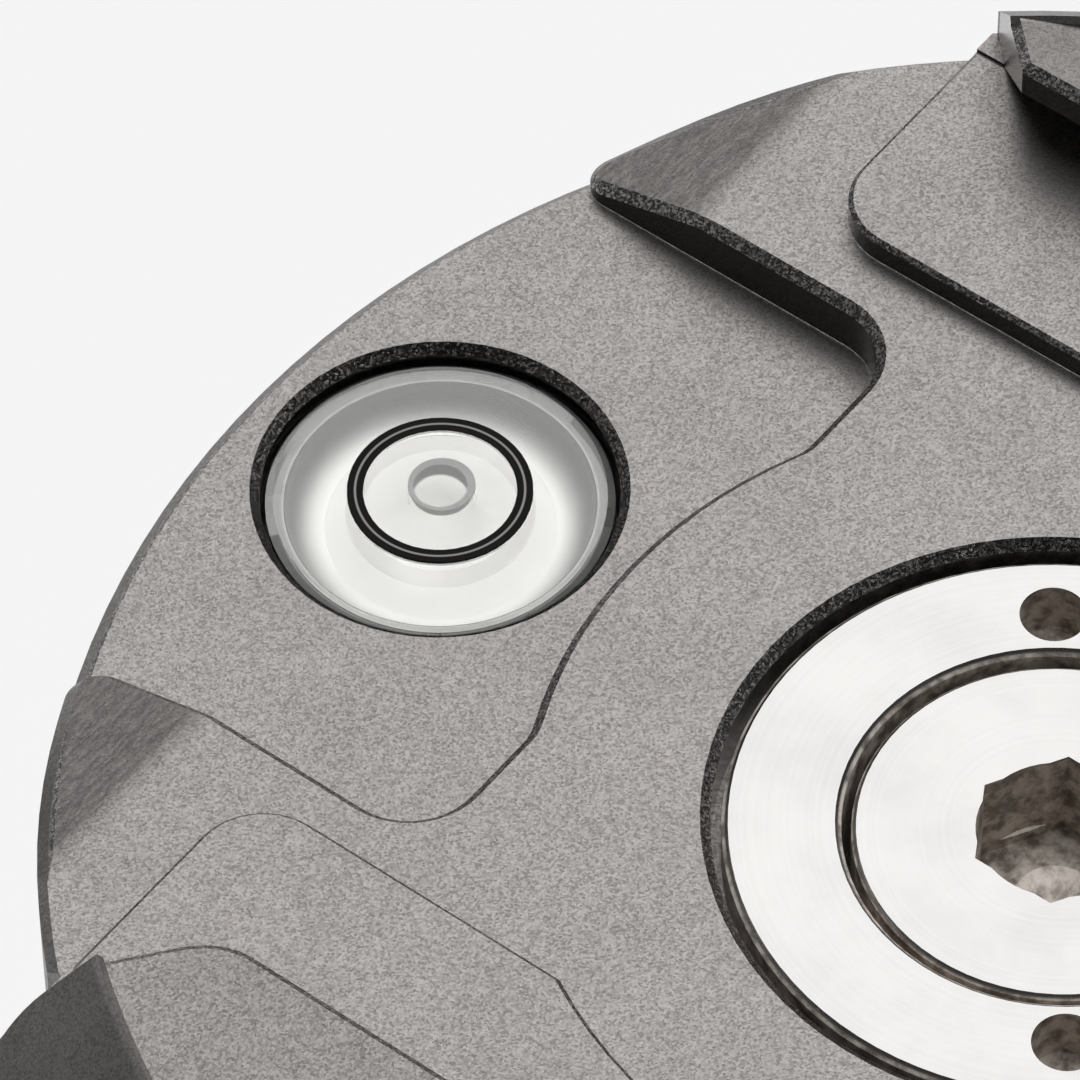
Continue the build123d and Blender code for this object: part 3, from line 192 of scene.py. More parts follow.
class Finish:
    """One material and the nodes that make it."""

    def __init__(self, name):
        self.material = bpy.data.materials.new(name)
        self.material.use_nodes = True
        self.tree = self.material.node_tree
        self.tree.nodes.clear()
        self.output = self.tree.nodes.new("ShaderNodeOutputMaterial")

    def node(self, kind, settings, *values, out=0, named=None):
        """Adds a node, makes its settings, then fills its sockets with values or links."""
        made = self.tree.nodes.new(kind)
        for key, value in settings.items():
            setattr(made, key, value)
        for key, value in [*enumerate(values), *(named or {}).items()]:
            if isinstance(value, Wire):
                self.tree.links.new(value.socket, made.inputs[key])
            elif value is not None:
                made.inputs[key].default_value = value
        return Wire(self, made.outputs[out])

    def place(self):
        """Object coordinates, in metres."""
        return self.node("ShaderNodeTexCoord", {}, out="Object")

    def facing(self):
        """Upward part of the surface's direction: 1 on a level top, 0 on a wall."""
        return self.axes(self.node("ShaderNodeTexCoord", {}, out="Normal"))[Z]

    def moved(self, vector, offset, stretch=(1, 1, 1), turn=(0, 0, 0)):
        """Coordinates shifted, turned and stretched."""
        return self.node("ShaderNodeMapping", {}, vector, offset, turn, stretch)

    def axes(self, vector):
        """The three parts of a vector."""
        split = self.node("ShaderNodeSeparateXYZ", {}, vector)
        return [Wire(self, socket) for socket in split.socket.node.outputs]

    def across(self, one, two):
        """Distance from an axis, from the two parts at right angles to it."""
        return (one * one + two * two) ** 0.5

    def around(self, x, y):
        """Distance from the upright axis through x and y."""
        one, two, _ = self.axes(self.moved(self.place(), (-x, -y, 0)))
        return self.across(one, two)

    def rise(self, value, low, high, start=0.0, end=1.0):
        """Smooth step of a value from start at low to end at high."""
        return self.node("ShaderNodeMapRange", {"interpolation_type": "SMOOTHSTEP"},
                         value, low, high, start, end)

    def band(self, value, low, high, soft):
        """1 between low and high, fading to 0 over a soft edge."""
        return self.rise(value, low - soft, low + soft) * (1 - self.rise(value, high - soft, high + soft))

    def noise(self, vector, size, detail=2.0, roughness=0.5):
        """Noise whose blobs have the given size in metres."""
        return self.node("ShaderNodeTexNoise", {}, named={
            "Vector": vector, "Scale": 1.0 / size, "Detail": detail, "Roughness": roughness})

    def streaks(self, vector, size, squeeze, degrees, detail, roughness):
        """Noise turned about +Z and drawn out along y, by squeezing its coordinate."""
        drawn = self.moved(vector, (0, 0, 0), (1, squeeze, 1), (0, 0, math.radians(degrees)))
        return self.noise(drawn, size, detail, roughness)

    def grains(self, vector, size):
        """Random value per grain, with irregular grains of the given size, softened by a finer noise."""
        cells = self.node("ShaderNodeTexVoronoi", {}, out="Color", named={
            "Vector": vector, "Scale": 1.0 / size})
        one, two, _ = self.axes(cells)
        return (one + two) * 0.32 + self.noise(vector, size * 0.8, 3.0, 0.7) * 0.36

    def scaled(self, colour, factor):
        """A colour times a varying number."""
        return self.node("ShaderNodeVectorMath", {"operation": "SCALE"}, colour, named={"Scale": factor})

    def tint(self, share, first, second):
        """Mix of two colours."""
        return self.node("ShaderNodeMix", {"data_type": "RGBA"}, out=2, named={0: share, 6: first, 7: second})

    def filtered(self, first, second):
        """Product of two colours."""
        return self.node("ShaderNodeMix", {"data_type": "RGBA", "blend_type": "MULTIPLY"}, out=2, named={
            0: 1.0, 6: first, 7: second})

    def bump(self, height, distance, strength=1.0, after=None):
        """Normal bent by a height."""
        return self.node("ShaderNodeBump", {}, named={
            "Strength": strength, "Distance": distance, "Height": height, "Normal": after})

    def shader(self, named):
        """Principled shader."""
        return self.node("ShaderNodeBsdfPrincipled", {}, named=named)

    def ended(self, shader):
        """The material, with a shader joined to its output."""
        self.tree.links.new(shader.socket, self.output.inputs["Surface"])
        return self.material

    def surface(self, named):
        """The material, as one principled shader."""
        return self.ended(self.shader(named))


def shaded(colour, factor):
    """A colour multiplied by a number."""
    return (colour[0] * factor, colour[1] * factor, colour[2] * factor, 1)


def dress(material, *nodes):
    """Gives a material to every slot of CAD nodes."""
    for name in nodes:
        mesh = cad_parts[name].data
        mesh.materials.clear()
        mesh.materials.append(material)


def mid_height(low, high):
    """Height halfway up a box."""
    return (low.z + high.z) / 2


# ------------------------------------------------------------------ finishes

def blasted(name, colour, grain, roughness):
    """Bead blasted, anodised aluminium: a fine speckle of grains in colour, gloss and height."""
    finish = Finish(name)
    return grained(finish, finish.place(), colour, grain, roughness)


def grained(finish, place, colour, grain, roughness, wear_and_painted_light=1.0, normal=None, dents_and_glints=None, cut=0.0):
    """Blasted surface with a tone of worn patches and painted light in its colour, over a given normal, with
    dented edges whose bright specks are painted glints, and smoother metal where it was cut after blasting."""
    speck = finish.grains(place, grain)
    cloud = finish.noise(place, 0.0035, 3.0, 0.55)
    tone = finish.rise(speck, 0.15, 0.75, 0.67, 1.21) * finish.rise(cloud, 0.3, 0.7, 0.96, 1.04) * wear_and_painted_light
    # painted glints: bright and dark specks in the edges' colour stand in for sparkle; the bump gives the
    # real dents
    if dents_and_glints is not None:
        tone = tone * (1 + dents_and_glints * finish.rise(speck, 0.4, 0.8, -0.55, 1.6))
        normal = finish.bump(speck * dents_and_glints, 0.00004, 1.0, normal)
    normal = finish.bump(speck, 0.00001, 0.6, normal)
    rough = finish.rise(speck, 0.2, 0.8, roughness + 0.06, roughness - 0.06) * (1 - cut)
    return finish.surface({"Base Color": finish.scaled(tuple(colour[:3]), tone), "Metallic": 1.0,
                           "Roughness": rough, "Normal": normal})


def clamp_finish(name, colour, grain, roughness, crest_r, crest_y):
    """Blasted plate: milled end facets, walls and bored edges cut smooth after blasting, a cutter's small
    radius at the foot of each wall, a painted highlight on the jaws' crests and facets lightened as painted
    light."""
    finish = Finish(name)
    place = finish.place()
    x, y, z = finish.axes(place)
    up = finish.facing()
    radius = finish.across(x, y)
    from_level = finish.across(x - LEVEL_X, y)
    from_crest = finish.across(x, y - crest_y)
    low = z < DECK + 0.0001

    facet = finish.rise(abs(x), *FACET) * finish.rise(up, 0.9, 0.94) * low
    milled = facet * (up < 0.985)
    lines = finish.streaks(place, 0.00016, 0.3, -12, 3.0, 0.6)
    weave = finish.streaks(place, 0.00028, 0.22, 24, 2.0, 0.5)

    bevel = finish.band(up, 0.5, 0.9, 0.06)
    bored = ((radius < COUNTERBORE_EDGE) + (from_level < LEVEL_EDGE)) * bevel * low
    rim = finish.rise(radius, *RIM_BEVEL) * low * (1 - finish.rise(up, 0.9, 0.96)) \
        * finish.rise(abs(up), 0.2, 0.4)
    cone = finish.rise(from_crest, crest_r - 0.0003, crest_r - 0.0002) * (1 - low)
    # bevels, which get dents and painted glints
    edges = bevel * (1 - rim) * (1 - cone)

    wall = (1 - finish.rise(abs(up), 0.1, 0.3)) * (radius < INSIDE_RIM) * (z > DECK - WALL_DEPTH)
    pocket = DECK - POCKET_DEPTH
    pocket_foot = (1 - finish.rise(z, pocket, pocket + CUTTER_R)) \
        * (radius > COUNTERBORE_EDGE) * (from_level > LEVEL_EDGE)
    deck_foot = (z > DECK - 0.00001) * (1 - finish.rise(z, DECK, DECK + CUTTER_R))
    foot = wall * (pocket_foot + deck_foot)
    cut = CUT_SMOOTHNESS * finish.node("ShaderNodeClamp", {}, wall * (1 - foot) + bored)

    # painted highlight: a pale band along the jaw's crest stands in for the light that its rounded edge
    # catches
    crest_highlight = finish.band(from_crest, crest_r - 0.00016, crest_r + 0.00012, 0.00006) * (z > CREST - 0.0004)
    wear_and_painted_light = finish.rise(weave, 0.3, 0.7, 0.97, 1.03) * (1 + 0.5 * crest_highlight)
    # milling streaks on the facets; the average lift they give the facets' tone is painted light
    wear_and_painted_light = wear_and_painted_light * (1 - milled * finish.rise(lines, 0.35, 0.65, 0.1, -0.3))
    normal = finish.bump(foot, 0.00016, 1.0)
    normal = finish.bump(lines * milled, 0.000016, 0.5, normal)
    return grained(finish, place, colour, grain, roughness, wear_and_painted_light, normal, edges, cut)


def turned(name, colour, roughness, axis=Z, centre=(0, 0, 0), pitch=0.00011, depth=0.0000035,
           dark_below=None):
    """Metal turned on a lathe: fine rings about an axis through a centre, and stained brown in its holes,
    below a height."""
    finish = Finish(name)
    place = finish.place()
    parts = finish.axes(finish.moved(place, tuple(-c for c in centre)))
    one, two = [part for index, part in enumerate(parts) if index != axis]
    reach = finish.node("ShaderNodeCombineXYZ", {}, finish.across(one, two), parts[axis], 0.0)
    rings = finish.noise(reach, pitch, 2.0, 0.55)
    cloud = finish.noise(place, 0.0028, 4.0, 0.6)
    base = finish.tint(finish.rise(cloud, 0.3, 0.7), shaded(colour, 0.93), shaded(colour, 1.06))
    rough, metal = finish.rise(cloud, 0.3, 0.7, roughness * 0.88, roughness * 1.12), 1.0
    if dark_below is not None:
        stain = finish.noise(place, 0.0006, 4.0, 0.65)
        inside = 1 - finish.rise(parts[axis], dark_below - 0.00006, dark_below)
        base = finish.tint(inside, base, finish.tint(finish.rise(stain, 0.35, 0.65), *STAINS))
        rough = rough + inside * finish.rise(stain, 0.3, 0.7, 0.02, 0.2)
        metal = 1 - 0.75 * inside
    grooves = finish.tint(finish.rise(rings, 0.3, 0.7), (0.97, 0.967, 0.964, 1), (1, 1, 1, 1))
    return finish.surface({"Base Color": finish.filtered(base, grooves), "Metallic": metal,
                           "Roughness": rough, "Normal": finish.bump(rings, depth, 1.0)})


def worn_rubber(name, colour):
    """Moulded rubber: fine matt grain and a dull bloom in patches."""
    finish = Finish(name)
    place = finish.place()
    grain = finish.noise(place, 0.00012, 3.0, 0.6)
    bloom = finish.noise(place, 0.003, 4.0, 0.6)
    return finish.surface({
        "Base Color": finish.tint(finish.rise(bloom, 0.35, 0.7), shaded(colour, 0.8), shaded(colour, 1.7)),
        "Roughness": finish.rise(grain, 0.3, 0.7, 0.52, 0.72), "Normal": finish.bump(grain, 0.00002, 0.7)})


def moulded(name, colour, roughness, grain=0.0003, depth=0.000006):
    """Moulded plastic: soft unevenness and a faint texture."""
    finish = Finish(name)
    place = finish.place()
    fine = finish.noise(place, grain, 3.0, 0.55)
    cloud = finish.noise(place, 0.002, 4.0, 0.6)
    return finish.surface({
        "Base Color": finish.tint(cloud, shaded(colour, 0.94), shaded(colour, 1.03)),
        "Roughness": finish.rise(fine, 0.3, 0.7, roughness * 0.85, min(1, roughness * 1.15)),
        "Normal": finish.bump(fine, depth, 0.6)})


def paint(name, colour):
    """Filled engraving: matt paint with worn patches."""
    finish = Finish(name)
    worn = finish.noise(finish.place(), 0.0004, 4.0, 0.7)
    return finish.surface({
        "Base Color": finish.tint(finish.rise(worn, 0.35, 0.6), shaded(colour, 0.75), shaded(colour, 1)),
        "Roughness": finish.rise(worn, 0.3, 0.7, 0.45, 0.7)})


def dusty_glass(finish, ior):
    """Clear shader, dull where dust lies, that casts no shadow."""
    dust = finish.noise(finish.place(), 0.0009, 5.0, 0.7)
    glass = finish.shader({
        "Base Color": (0.985, 0.985, 0.975, 1), "Roughness": finish.rise(dust, 0.62, 0.75, 0.0, 0.08),
        "IOR": ior, "Specular IOR Level": 0.3, "Transmission Weight": 1.0})
    clear = finish.node("ShaderNodeBsdfTransparent", {})
    shadow = finish.node("ShaderNodeLightPath", {}, out="Is Shadow Ray")
    return finish.node("ShaderNodeMixShader", {}, shadow, glass, clear)


def rimmed(finish, inner):
    """A shader with a painted shade round the bubble's rim, thicker on one side, where its skin turns down.
    """
    low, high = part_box("level_bubble")
    # painted shade: a dark ring, shifted to one side, stands in for the shade at the bubble's edge
    from_middle = finish.around((low.x + high.x) / 2, (low.y + high.y) / 2 - 0.06 * MM)
    fine = finish.noise(finish.place(), 0.0002, 2.0, 0.5)
    dark = finish.shader({
        "Base Color": finish.tint(fine, (0.03, 0.03, 0.028, 1), (0.06, 0.06, 0.056, 1)), "Roughness": 0.5})
    rim = finish.rise(from_middle, 0.66 * MM, 0.73 * MM)
    return finish.node("ShaderNodeMixShader", {}, rim, inner, dark)


def cup_finish(name):
    """Dark grey moulding of the level's cup, with a painted shade round its mouth."""
    finish = Finish(name)
    # painted shade: a darker ring at the mouth stands in for the shade in the gap seen through the glass
    edge = finish.band(finish.around(LEVEL_X, 0), *CUP_SHADE_RING, 0.00003)
    cloud = finish.noise(finish.place(), 0.0012, 4.0, 0.6)
    grey = finish.tint(cloud, (0.10, 0.104, 0.095, 1), (0.15, 0.154, 0.142, 1))
    return finish.surface({"Base Color": finish.tint(edge, grey, (0.035, 0.036, 0.034, 1)),
                           "Roughness": finish.rise(cloud, 0.3, 0.7, 0.25, 0.4)})


def mark_finish(name):
    """Matt black ink of the level's ring, with a fine painted highlight in it."""
    finish = Finish(name)
    fine = finish.noise(finish.place(), 0.00012, 3.0, 0.6)
    # painted highlight: a pale ring in the ink stands in for a reflection
    line = finish.band(finish.around(LEVEL_X, 0), *MARK_HIGHLIGHT, 0.00001)
    ink = finish.tint(fine, (0.004, 0.004, 0.004, 1), (0.016, 0.015, 0.014, 1))
    return finish.surface({"Base Color": finish.tint(line, ink, (0.26, 0.255, 0.245, 1)),
                           "Roughness": finish.rise(fine, 0.3, 0.7, 0.75, 0.95), "Specular IOR Level": 0.08})


def bowl_finish(name):
    """Inside of the level: white as its card at the floor, darkened by painted shade to dark grey at its top.
    """
    finish = Finish(name)
    # painted shade: the colour darkens with radius up the wall, as the wall turns from the light
    painted_wall_shade = finish.rise(finish.around(LEVEL_X, 0), 2.95 * MM, 3.85 * MM)
    cloud = finish.noise(finish.place(), 0.0012, 4.0, 0.6)
    grey = finish.tint(cloud, (0.034, 0.036, 0.032, 1), (0.056, 0.058, 0.052, 1))
    return finish.surface({"Base Color": finish.tint(painted_wall_shade, LEVEL_CARD, grey),
                           "Roughness": finish.rise(cloud, 0.3, 0.7, 0.3, 0.45)})


# ------------------------------------------------------------------ surfaces

def meshed(name, verts, faces):
    """Mesh of points and faces."""
    mesh = bpy.data.meshes.new(name)
    mesh.from_pydata(verts.tolist(), [], faces)
    return mesh


def add_piece(mesh, material, body):
    """Puts a mesh into the scene as a piece of a body."""
    mesh.materials.append(material)
    piece = bpy.data.objects.new(mesh.name, mesh)
    bpy.context.scene.collection.objects.link(piece)
    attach(piece, body)
    return piece


def cells(rows, columns, joined):
    """Quads between the neighbours in a grid of points. A side that is joined runs on from its last row to
    its first."""
    r, c = np.meshgrid(np.arange(rows - (not joined[0])), np.arange(columns - (not joined[1])), indexing="ij")
    down, right = (r + 1) % rows, (c + 1) % columns
    corners = r * columns + c, r * columns + right, down * columns + right, down * columns + c
    return np.stack(corners, -1).reshape(-1, 4)


def face_outward(mesh):
    """Turns the faces round if the volume they enclose, a sum of corner products, comes out negative."""
    mesh.calc_loop_triangles()
    corners = np.empty(len(mesh.loop_triangles) * 3, dtype=np.int32)
    mesh.loop_triangles.foreach_get("vertices", corners)
    where = np.empty(len(mesh.vertices) * 3)
    mesh.vertices.foreach_get("co", where)
    a, b, c = where.reshape(-1, 3)[corners.reshape(-1, 3)].transpose(1, 0, 2)
    if np.einsum("ij,ij->i", a, np.cross(b, c)).sum() < 0:
        mesh.flip_normals()


def skin(name, points, material, body, joined=(True, True), capped=False):
    """Piece made of a grid of points. Ends that are capped are closed by a fan to the middle of their row."""
    rows, columns = points.shape[:2]
    verts, faces = points.reshape(-1, 3), cells(rows, columns, joined).tolist()
    if capped:
        here, last = np.arange(columns), (rows - 1) * columns
        following = (here + 1) % columns
        faces += np.stack([following, here, np.full(columns, len(verts))], -1).tolist()
        faces += np.stack([last + here, last + following, np.full(columns, len(verts) + 1)], -1).tolist()
        verts = np.vstack([verts, points[0].mean(0), points[-1].mean(0)])
    mesh = meshed(name, verts, faces)
    face_outward(mesh)
    mesh.shade_smooth()
    return add_piece(mesh, material, body)


def sharpen(piece, degrees):
    """Keeps edges sharper than an angle crisp in the shading."""
    piece.data.set_sharp_from_angle(angle=math.radians(degrees))
    return piece


def out_along(points, azimuth, height):
    """Lays points that stand round +Z out along a horizontal direction, at a height."""
    turn = math.radians(azimuth)
    ahead = np.array([math.cos(turn), math.sin(turn), 0])
    aside = np.array([-math.sin(turn), math.cos(turn), 0])
    lift = points[..., :1] * aside + points[..., 1:2] * np.array([0, 0, 1]) + points[..., 2:] * ahead
    return lift + np.array([0, 0, height])


def carried_round(radius, turn, height):
    """Points at a radius, an angle and a height: x and y are the radius times the angle's cosine and sine."""
    return np.stack([radius * np.cos(turn), radius * np.sin(turn), height], -1)


def ribbed_grip(start, end, outer, inner, lobes, depth, rib, edge):
    """Grip round +Z between two heights. Its outer radius falls by depth in each of the lobes' valleys, as
    the fourth power of a cosine, and by rib in narrow grooves, as the third power of a faster one. A quarter
    circle rounds both ends."""
    turn = np.linspace(0, 2 * np.pi, lobes * 24 + 1)[:-1]
    valley = depth * (0.5 + 0.5 * np.cos(lobes * turn)) ** 4
    groove = rib * (0.5 + 0.5 * np.cos(lobes * turn * 4)) ** 3
    bend = np.linspace(0, np.pi / 2, 6)
    inset = np.concatenate([[0], edge * (1 - np.sin(bend)), [0], edge * (1 - np.cos(bend)), [0]])
    height = np.concatenate([[start], start + edge * (1 - np.cos(bend)), [(start + end) / 2],
                             end - edge * (1 - np.sin(bend)), [end]])
    full = np.concatenate([[0], np.ones(6), [1], np.ones(6), [0]])
    share = np.concatenate([[0], np.sin(bend), [1], np.cos(bend), [0]])
    radius = inner + full[:, None] * (outer - inner - inset[:, None] - valley - groove * share[:, None])
    return carried_round(radius, turn, np.repeat(height[:, None], len(turn), 1))


def revolved(profile, steps=96):
    """Profile of radius and height carried round +Z."""
    turn = np.linspace(0, 2 * np.pi, steps + 1)[:-1]
    outline = np.asarray(profile)
    return carried_round(outline[:, :1], turn, np.repeat(outline[:, 1:], steps, 1))


def thread_ridge(major, minor, pitch, start, turns):
    """Ridge of an inner screw thread: a triangle whose base lies on the major radius and whose blunt tip lies
    on the minor radius, carried up a helix and tapered to nothing at both ends."""
    along = np.linspace(0, turns, int(turns * 48))
    fade = np.clip(np.minimum(along, turns - along) / 0.3, 0.02, 1)
    section = np.array([(0.0, -0.44), (1.0, -0.07), (1.0, 0.07), (0.0, 0.44)])
    radius = major - (major - minor) * section[None, :, 0] * fade[:, None]
    height = start + pitch * (along[:, None] + section[None, :, 1] * fade[:, None])
    return carried_round(radius, 2 * np.pi * along[:, None], height)


def bowl_inside(floor, top):
    """Ring round the level's axis. Its inner side is a quarter of an ellipse, steep under the lens and level
    where it meets the floor."""
    bend = np.linspace(0, np.pi / 2, 13)
    slope = np.stack([BOWL_TOP - (BOWL_TOP - BOWL_FOOT) * (1 - np.cos(bend)),
                      top - (top - floor) * np.sin(bend)], -1)
    under = floor - 0.006 * MM
    return revolved(np.vstack([slope, [(BOWL_FOOT, under), (BOWL_TOP, under)]])) + np.array([LEVEL_X, 0, 0])


def ticks(radius, azimuths, lengths, width, top):
    """Upright bars on a cylinder, hanging from a height: each is a thin box bent round the wall, whose eight
    corners are its azimuth plus or minus half its angle, its top and its foot, and a little in and out."""
    half = width / 2 / radius
    corners = np.array([(a, h, d) for d in (0, 1) for h in (0, 1) for a in (-1, 1)])
    turn = np.asarray(azimuths)[:, None] + corners[:, 0] * half
    height = top - corners[:, 1] * np.asarray(lengths)[:, None]
    points = carried_round(radius - PAINT_PROUD + 2 * PAINT_PROUD * corners[:, 2], turn, height)
    sides = np.array([(0, 1, 3, 2), (4, 6, 7, 5), (0, 4, 5, 1), (2, 3, 7, 6), (0, 2, 6, 4), (1, 5, 7, 3)])
    faces = (np.arange(len(points))[:, None, None] * len(corners) + sides).reshape(-1, 4)
    return points.reshape(-1, 3), faces.tolist()


def numerals(texts, size, radius, azimuths, middle):
    """Figures wrapped round a cylinder: the flat text's width becomes an arc and its height stays upright."""
    verts, faces = np.empty((0, 3)), []
    for text, azimuth in zip(texts, azimuths):
        curve = bpy.data.curves.new("figure", "FONT")
        curve.body, curve.size, curve.extrude, curve.resolution_u = text, size, size * 0.03, 3
        curve.align_x, curve.align_y = "CENTER", "CENTER"
        flat = bpy.data.objects.new("figure", curve)
        mesh = bpy.data.meshes.new_from_object(flat)
        place = np.empty(len(mesh.vertices) * 3)
        mesh.vertices.foreach_get("co", place)
        x, y, z = place.reshape(-1, 3).T
        faces += [[len(verts) + index for index in polygon.vertices] for polygon in mesh.polygons]
        verts = np.vstack([verts, carried_round(radius + z, azimuth + x / radius, middle + y)])
        bpy.data.meshes.remove(mesh)
        bpy.data.objects.remove(flat)
        bpy.data.curves.remove(curve)
    return verts, faces


# ------------------------------------------------------------------ operators

class HEAD_OT_metal(bpy.types.Operator):
    """Finish the blasted and turned metal"""
    bl_idname = "head.metal"
    bl_label = "Finish metal"

    def execute(self, context):
        c = context.scene.head_colours
        grey, grain, rough = c.anodised, c.blast_grain, c.blast_roughness
        dress(clamp_finish("anodised_grey", grey, grain, rough, *FIXED_CREST), "clamp_base")
        dress(clamp_finish("anodised_grey_jaw", grey, grain, rough, *MOVING_CREST), "moving_jaw")
        dress(blasted("housing_grey", shaded(grey, 0.9), grain * 1.4, rough), "housing", "base_plate")
        main = (0, 0, mid_height(*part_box("lock_knob")))
        dress(turned("knob_metal", c.knob, 0.32, Y, main), "lock_knob", "lock_screw")
        dress(turned("cap_metal", CAP_METAL, 0.22, Y, main, pitch=0.0002, depth=0.000006), "lock_knob_cap")
        side = (0, 0, mid_height(*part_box("clamp_knob")))
        dress(turned("knob_metal_clamp", c.knob, 0.32, Y, side), "clamp_knob", "clamp_screw")
        dress(blasted("knob_metal_small", c.knob, grain * 1.2, 0.36),
              "pan_knob", "friction_knob", "clamp_lock_knob")
        nut_top, head_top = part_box("ring_nut")[1].z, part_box("centre_screw")[1].z
        dress(turned("stainless", c.stainless, 0.27, dark_below=nut_top - STAIN_TOP), "ring_nut")
        dress(turned("stainless_screw", c.stainless, 0.27, dark_below=head_top - STAIN_TOP), "centre_screw")
        dress(turned("plain_steel", STEEL, 0.3, pitch=0.0002),
              "clamp_spindle", "thread_bush", "pan_flange_screws", "lock_wedge", "wedge_spring",
              "jaw_guide_pins", "jaw_springs", "clamp_lock_screw", "friction_screw", "pan_lock_screw")
        dress(turned("inner_metal", INNER_METAL, 0.34, pitch=0.0003),
              "pan_flange", "housing_floor", "pan_ring")
        dress(turned("ball_metal", BALL_METAL, 0.3, pitch=0.00016, depth=0.000004), "ball_stem")
        dress(turned("brass", BRASS, 0.32, pitch=0.0002), "clamp_lock_pad", "friction_pad", "pan_lock_pad")
        return {"FINISHED"}


class HEAD_OT_soft(bpy.types.Operator):
    """Finish the plastic washers, race and cup"""
    bl_idname = "head.soft"
    bl_label = "Finish plastic"

    def execute(self, context):
        dress(moulded("washer_plastic", WASHER, 0.42),
              "clamp_knob_washer", "spindle_lower_washer", "spindle_upper_washer", "pan_lower_washer",
              "pan_upper_washer", "upper_race", "ball_cup")
        return {"FINISHED"}


class HEAD_OT_grips(bpy.types.Operator):
    """Make the ribbed rubber grips of the two large knobs"""
    bl_idname = "head.grips"
    bl_label = "Make grips"

    def execute(self, context):
        rubber = worn_rubber("grip_rubber", context.scene.head_colours.rubber)
        low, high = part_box("lock_knob_grip")
        ring = out_along(ribbed_grip(low.y, high.y, **MAIN_GRIP), 90, mid_height(low, high))
        main = skin("main_grip", ring, rubber, "lock_knob")
        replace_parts(sharpen(main, 50), "lock_knob_grip")
        low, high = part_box("clamp_knob_grip")
        ring = out_along(ribbed_grip(-high.y, -low.y, **CLAMP_GRIP), 270, mid_height(low, high))
        clamp = skin("clamp_grip", ring, rubber, "clamp_knob")
        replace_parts(sharpen(clamp, 50), "clamp_knob_grip")
        return {"FINISHED"}


class HEAD_OT_scale(bpy.types.Operator):
    """Make the panning scale, its figures and its index mark"""
    bl_idname = "head.scale"
    bl_label = "Make panning scale"

    def execute(self, context):
        white = paint("scale_paint", SCALE_PAINT)
        radius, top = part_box("base_plate")[1].x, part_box("housing")[0].z - 0.75 * MM
        marks, labels = np.arange(0, 360, 5), np.arange(0, 360, 30)
        lengths = np.where(marks % 30 == 0, 1.5 * MM, np.where(marks % 10 == 0, 1.1 * MM, 0.75 * MM))
        scale = ticks(radius, np.radians(marks), lengths, 0.16 * MM, top)
        add_piece(meshed("pan_scale", *scale), white, "base")
        figures = numerals([str(n) for n in labels], 1.7 * MM, radius, np.radians(labels), top - 2.5 * MM)
        add_piece(meshed("pan_figures", *figures), white, "base")
        index = ticks(HOUSING_R, [0.0], [2.2 * MM], 0.34 * MM, top + 3.9 * MM)
        add_piece(meshed("pan_index", *index), white, "housing")
        return {"FINISHED"}


class HEAD_OT_thread(bpy.types.Operator):
    """Make the thread in the tripod socket"""
    bl_idname = "head.thread"
    bl_label = "Make socket thread"

    def execute(self, context):
        steel = turned("thread_steel", STEEL, 0.3, pitch=0.0002)
        ridge = skin("socket_thread", thread_ridge(**THREAD), steel, "base",
                     joined=(False, True), capped=True)
        sharpen(ridge, 30)
        return {"FINISHED"}


class HEAD_OT_level(bpy.types.Operator):
    """Finish the glass and liquid of the bubble level, and make the sloping bowl inside it"""
    bl_idname = "head.level"
    bl_label = "Finish level"

    def execute(self, context):
        for name, ior, node in (("level_clear", 1.49, "level_lens"), ("level_liquid", 1.03, "level_fluid"),
                                ("level_air", 1.0, "level_bubble")):
            finish = Finish(name)
            shader = dusty_glass(finish, ior)
            if node == "level_bubble":
                shader = rimmed(finish, shader)
            dress(finish.ended(shader), node)
        dress(cup_finish("level_body"), "level_cup")
        dress(moulded("level_white", LEVEL_CARD, 0.6, grain=0.0005), "level_floor")
        dress(mark_finish("level_black"), "level_mark")
        floor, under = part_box("level_floor")[1].z + 0.012 * MM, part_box("level_lens")[0].z - 0.02 * MM
        bowl = skin("level_bowl", bowl_inside(floor, under), bowl_finish("level_bowl"), "clamp")
        sharpen(bowl, 60)
        return {"FINISHED"}


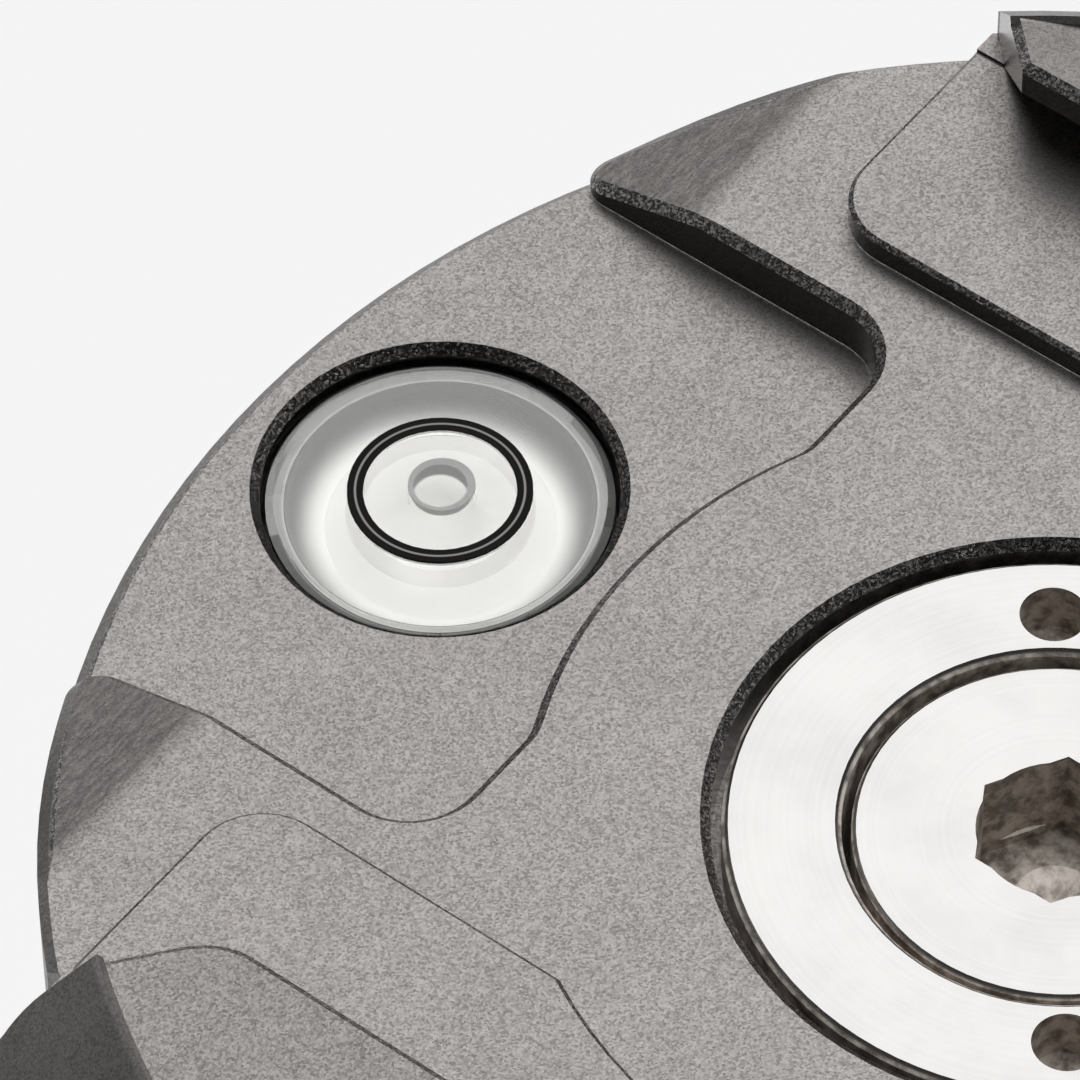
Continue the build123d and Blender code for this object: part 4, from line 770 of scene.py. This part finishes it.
class HEAD_OT_stage(bpy.types.Operator):
    """Make the floor, the light and the camera"""
    bl_idname = "head.stage"
    bl_label = "Make stage"

    def execute(self, context):
        s = context.scene.head_stage
        grid = revolved(FLOOR_RINGS, 64)
        faces = cells(*grid.shape[:2], (False, True))[:, ::-1]
        mesh = meshed("floor", grid.reshape(-1, 3), faces.tolist())
        mesh.materials.append(Finish("floor_paper").surface({"Base Color": tuple(s.floor), "Roughness": 0.9}))
        floor = bpy.data.objects.new("floor", mesh)
        context.scene.collection.objects.link(floor)

        world = bpy.data.worlds.new("studio")
        context.scene.world = world
        world.use_nodes = True
        back = world.node_tree.nodes["Background"]
        back.inputs["Color"].default_value = (1, 1, 1, 1)
        back.inputs["Strength"].default_value = s.sky
        lamp = bpy.data.lights.new("key", "SUN")
        lamp.energy = s.key
        lamp.angle = s.key_width
        key = bpy.data.objects.new("key", lamp)
        key.rotation_mode = "QUATERNION"
        key.rotation_quaternion = Vector(KEY_FROM).to_track_quat("Z", "Y")
        context.scene.collection.objects.link(key)

        level, drop = math.cos(CAMERA_PITCH), math.sin(CAMERA_PITCH)
        right = Vector(CAMERA_RIGHT)
        ahead = Vector((-CAMERA_RIGHT[1] * level, CAMERA_RIGHT[0] * level, -drop))
        up = right.cross(ahead)
        side = right * math.cos(CAMERA_ROLL) + up * math.sin(CAMERA_ROLL)
        top = up * math.cos(CAMERA_ROLL) - right * math.sin(CAMERA_ROLL)
        aim = Matrix((side, top, -ahead)).transposed().to_4x4()
        camera = bpy.data.objects.new("camera", bpy.data.cameras.new("camera"))
        camera.data.lens = s.lens
        camera.data.sensor_width = 36.0
        camera.data.clip_start = 0.01
        camera.data.clip_end = 20.0
        x, y, above_deck = CAMERA_PLACE
        camera.matrix_world = Matrix.Translation((x, y, DECK + above_deck)) @ aim
        context.scene.collection.objects.link(camera)
        context.scene.camera = camera
        context.scene.view_settings.view_transform = "Standard"
        return {"FINISHED"}


class HEAD_PT_panel(bpy.types.Panel):
    """Lists the finishes, the pieces and the stage"""
    bl_idname = "HEAD_PT_panel"
    bl_label = "Ball Head"
    bl_space_type = "VIEW_3D"
    bl_region_type = "UI"
    bl_category = "Ball Head"

    def draw(self, context):
        for group in (context.scene.head_colours, context.scene.head_stage):
            for name in group.__annotations__:
                self.layout.prop(group, name)
        for operator in OPERATORS:
            self.layout.operator(operator.bl_idname)


OPERATORS = (HEAD_OT_metal, HEAD_OT_soft, HEAD_OT_grips, HEAD_OT_scale, HEAD_OT_thread, HEAD_OT_level,
             HEAD_OT_stage)
CLASSES = (HeadColours, HeadStage, *OPERATORS, HEAD_PT_panel)


def register():
    for cls in CLASSES:
        bpy.utils.register_class(cls)
    bpy.types.Scene.head_colours = PointerProperty(type=HeadColours)
    bpy.types.Scene.head_stage = PointerProperty(type=HeadStage)


def unregister():
    del bpy.types.Scene.head_stage
    del bpy.types.Scene.head_colours
    for cls in reversed(CLASSES):
        bpy.utils.unregister_class(cls)


def main():
    register()
    bpy.ops.head.metal()
    bpy.ops.head.soft()
    bpy.ops.head.grips()
    bpy.ops.head.scale()
    bpy.ops.head.thread()
    bpy.ops.head.level()
    bpy.ops.head.stage()
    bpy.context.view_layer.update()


if __name__ == "__main__":
    main()
